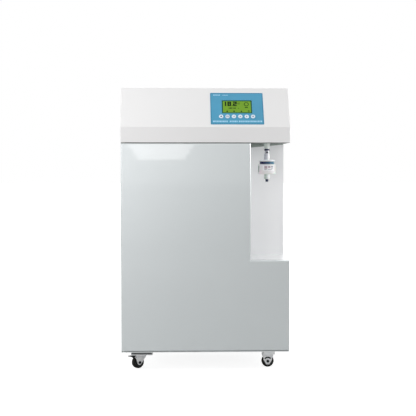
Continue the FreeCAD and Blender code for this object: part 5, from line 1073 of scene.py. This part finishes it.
# Swaps y and z, so that the parts stand on the back.
ON_BOARD = Matrix(((1, 0, 0, 0), (0, 0, 1, BOARD_BACK), (0, 1, 0, 0), (0, 0, 0, 1)))
board = bmesh.new()
for column in range(6):
    for row in range(4):
        x = PARTS_LEFT + PARTS_PITCH[0] * column + random.uniform(-PARTS_DRIFT, PARTS_DRIFT)
        z = PARTS_FOOT + PARTS_PITCH[1] * row + random.uniform(-PARTS_DRIFT, PARTS_DRIFT)
        kind = random.choice((0, 1, 2))
        if kind == 0:
            add_lathe(board, CAN_PROFILE, 24, centre=(x, z))
        else:
            half_width, half_height, depth, corner, edge = BOARD_BLOCKS[kind]
            outline = rounded(x - half_width, x + half_width, z - half_height, z + half_height, corner)
            add_prism(board, outline, 0.0, depth, kind, edge)
finish_mesh("board_parts", board, [CAN, CHIP, COPPER], sharp=SHARP_TURNED, matrix=ON_BOARD)

# ---------------- background and floor
# The world's light on the object, and the white that the camera, mirrors and clear parts see.
AMBIENT = 0.47
world = bpy.data.worlds.new("world")
bpy.context.scene.world = world
world.use_nodes = True
sky = Tree(world.node_tree)
background = sky.tree.nodes["Background"]
background.inputs["Color"].default_value = grey(1.0)
rays = sky.add("ShaderNodeLightPath").outputs
looked_at = sky.math("MAXIMUM", rays["Is Camera Ray"], rays["Is Glossy Ray"])
looked_at = sky.math("MAXIMUM", looked_at, rays["Is Transmission Ray"])
sky.link(sky.map_range(looked_at, 0.0, 1.0, AMBIENT, 1.0), background.inputs["Strength"])

# The floor's own glow grows with the distance from the object, so that its far edge melts into the white.
GLOW_NEAR = 0.82
GLOW_MIRRORED = 0.18
GLOW_START = 0.5
GLOW_END = 2.2
FLOOR_HALF = 30.0
look = Material("studio_floor")
look.set(Base_Color=colour(205, 205, 205), Roughness=0.9, Specular_IOR_Level=0.1, Emission_Color=grey(1.0))
distance = look.add("ShaderNodeVectorMath", operation="LENGTH")
look.link(look.place, distance.inputs[0])
glow = look.map_range(distance.outputs["Value"], GLOW_START, GLOW_END, GLOW_NEAR, 1.0, "SMOOTHSTEP")
rays = look.add("ShaderNodeLightPath").outputs
looked_at = look.math("MAXIMUM", rays["Is Camera Ray"], rays["Is Transmission Ray"])
seen = look.math("MULTIPLY", looked_at, glow)
lift = look.math("MULTIPLY_ADD", rays["Is Glossy Ray"], GLOW_MIRRORED, seen)
look.link(lift, look.shader.inputs["Emission Strength"])
floor_mesh = bpy.data.meshes.new("studio_floor")
corners = [(x * FLOOR_HALF, y * FLOOR_HALF, 0.0) for x, y in ((-1, -1), (1, -1), (1, 1), (-1, 1))]
floor_mesh.from_pydata(corners, [], [(0, 1, 2, 3)])
floor_mesh.materials.append(look.material)
floor = add_object("studio_floor", floor_mesh)


# ---------------- lamps, in metres and watts
def area_light(name, place, target, width, height, power, tint=(1.0, 1.0, 1.0)):
    data = bpy.data.lights.new(name, "AREA")
    data.shape = "RECTANGLE"
    data.size = width
    data.size_y = height
    data.energy = power
    data.color = tint
    lamp = add_object(name, data)
    lamp.location = place
    lamp.rotation_euler = (Vector(target) - Vector(place)).to_track_quat("-Z", "Y").to_euler()
    lamp.visible_camera = False
    return lamp


area_light("key_light", (-0.95, -0.85, 1.15), (-0.15, -0.24, 0.60), 0.5, 0.5, 4.1)
area_light("top_light", (0.1, -0.6, 3.0), (0.0, 0.0, 0.5), 2.0, 2.0, 13.0)
area_light("soft_box", (-1.1, -4.2, 1.0), (-0.15, -0.24, 0.68), 1.2, 1.3, 10.2, (1.0, 0.955, 0.968))
area_light("tall_panel", (-1.5, -3.2, 0.6), (-0.1, -0.24, 0.35), 1.2, 1.2, 7.0, (1.0, 0.975, 0.985))
# A weak lamp at the right that reaches into the recess.
recess_light = area_light("recess_light", (1.05, -0.38, 0.77), (0.21, -0.05, 0.66), 0.30, 0.20, 0.75)
recess_light.data.spread = math.radians(75)
area_light("left_fill", (-2.6, 0.35, 1.1), (-0.27, 0.0, 0.5), 1.4, 1.4, 11.0)
area_light("right_fill", (2.6, 0.45, 1.1), (0.27, 0.0, 0.5), 1.4, 1.4, 5.0)
area_light("back_fill", (0.3, 3.2, 1.8), (0.0, 0.0, 0.5), 2.0, 2.0, 38.0)

# A window behind the camera, narrower at its foot, which the door's clear coat mirrors near its top.
WINDOW_X = -0.19
WINDOW_Y = -4.05
WINDOW_GLOW = 8.4
WINDOW_TINT = (1.0, 0.975, 0.975)
# Foot, top and width of its parts.
WINDOW_PARTS = ((0.697, 0.735, 0.34), (0.735, 0.775, 0.39), (0.775, 1.0, 0.45))
for number, (low, high, width) in enumerate(WINDOW_PARTS):
    middle = (low + high) / 2
    height = high - low
    power = WINDOW_GLOW * width * height
    place = (WINDOW_X, WINDOW_Y, middle)
    area_light("window_%d" % number, place, (WINDOW_X, 0.0, middle), width, height, power, WINDOW_TINT)
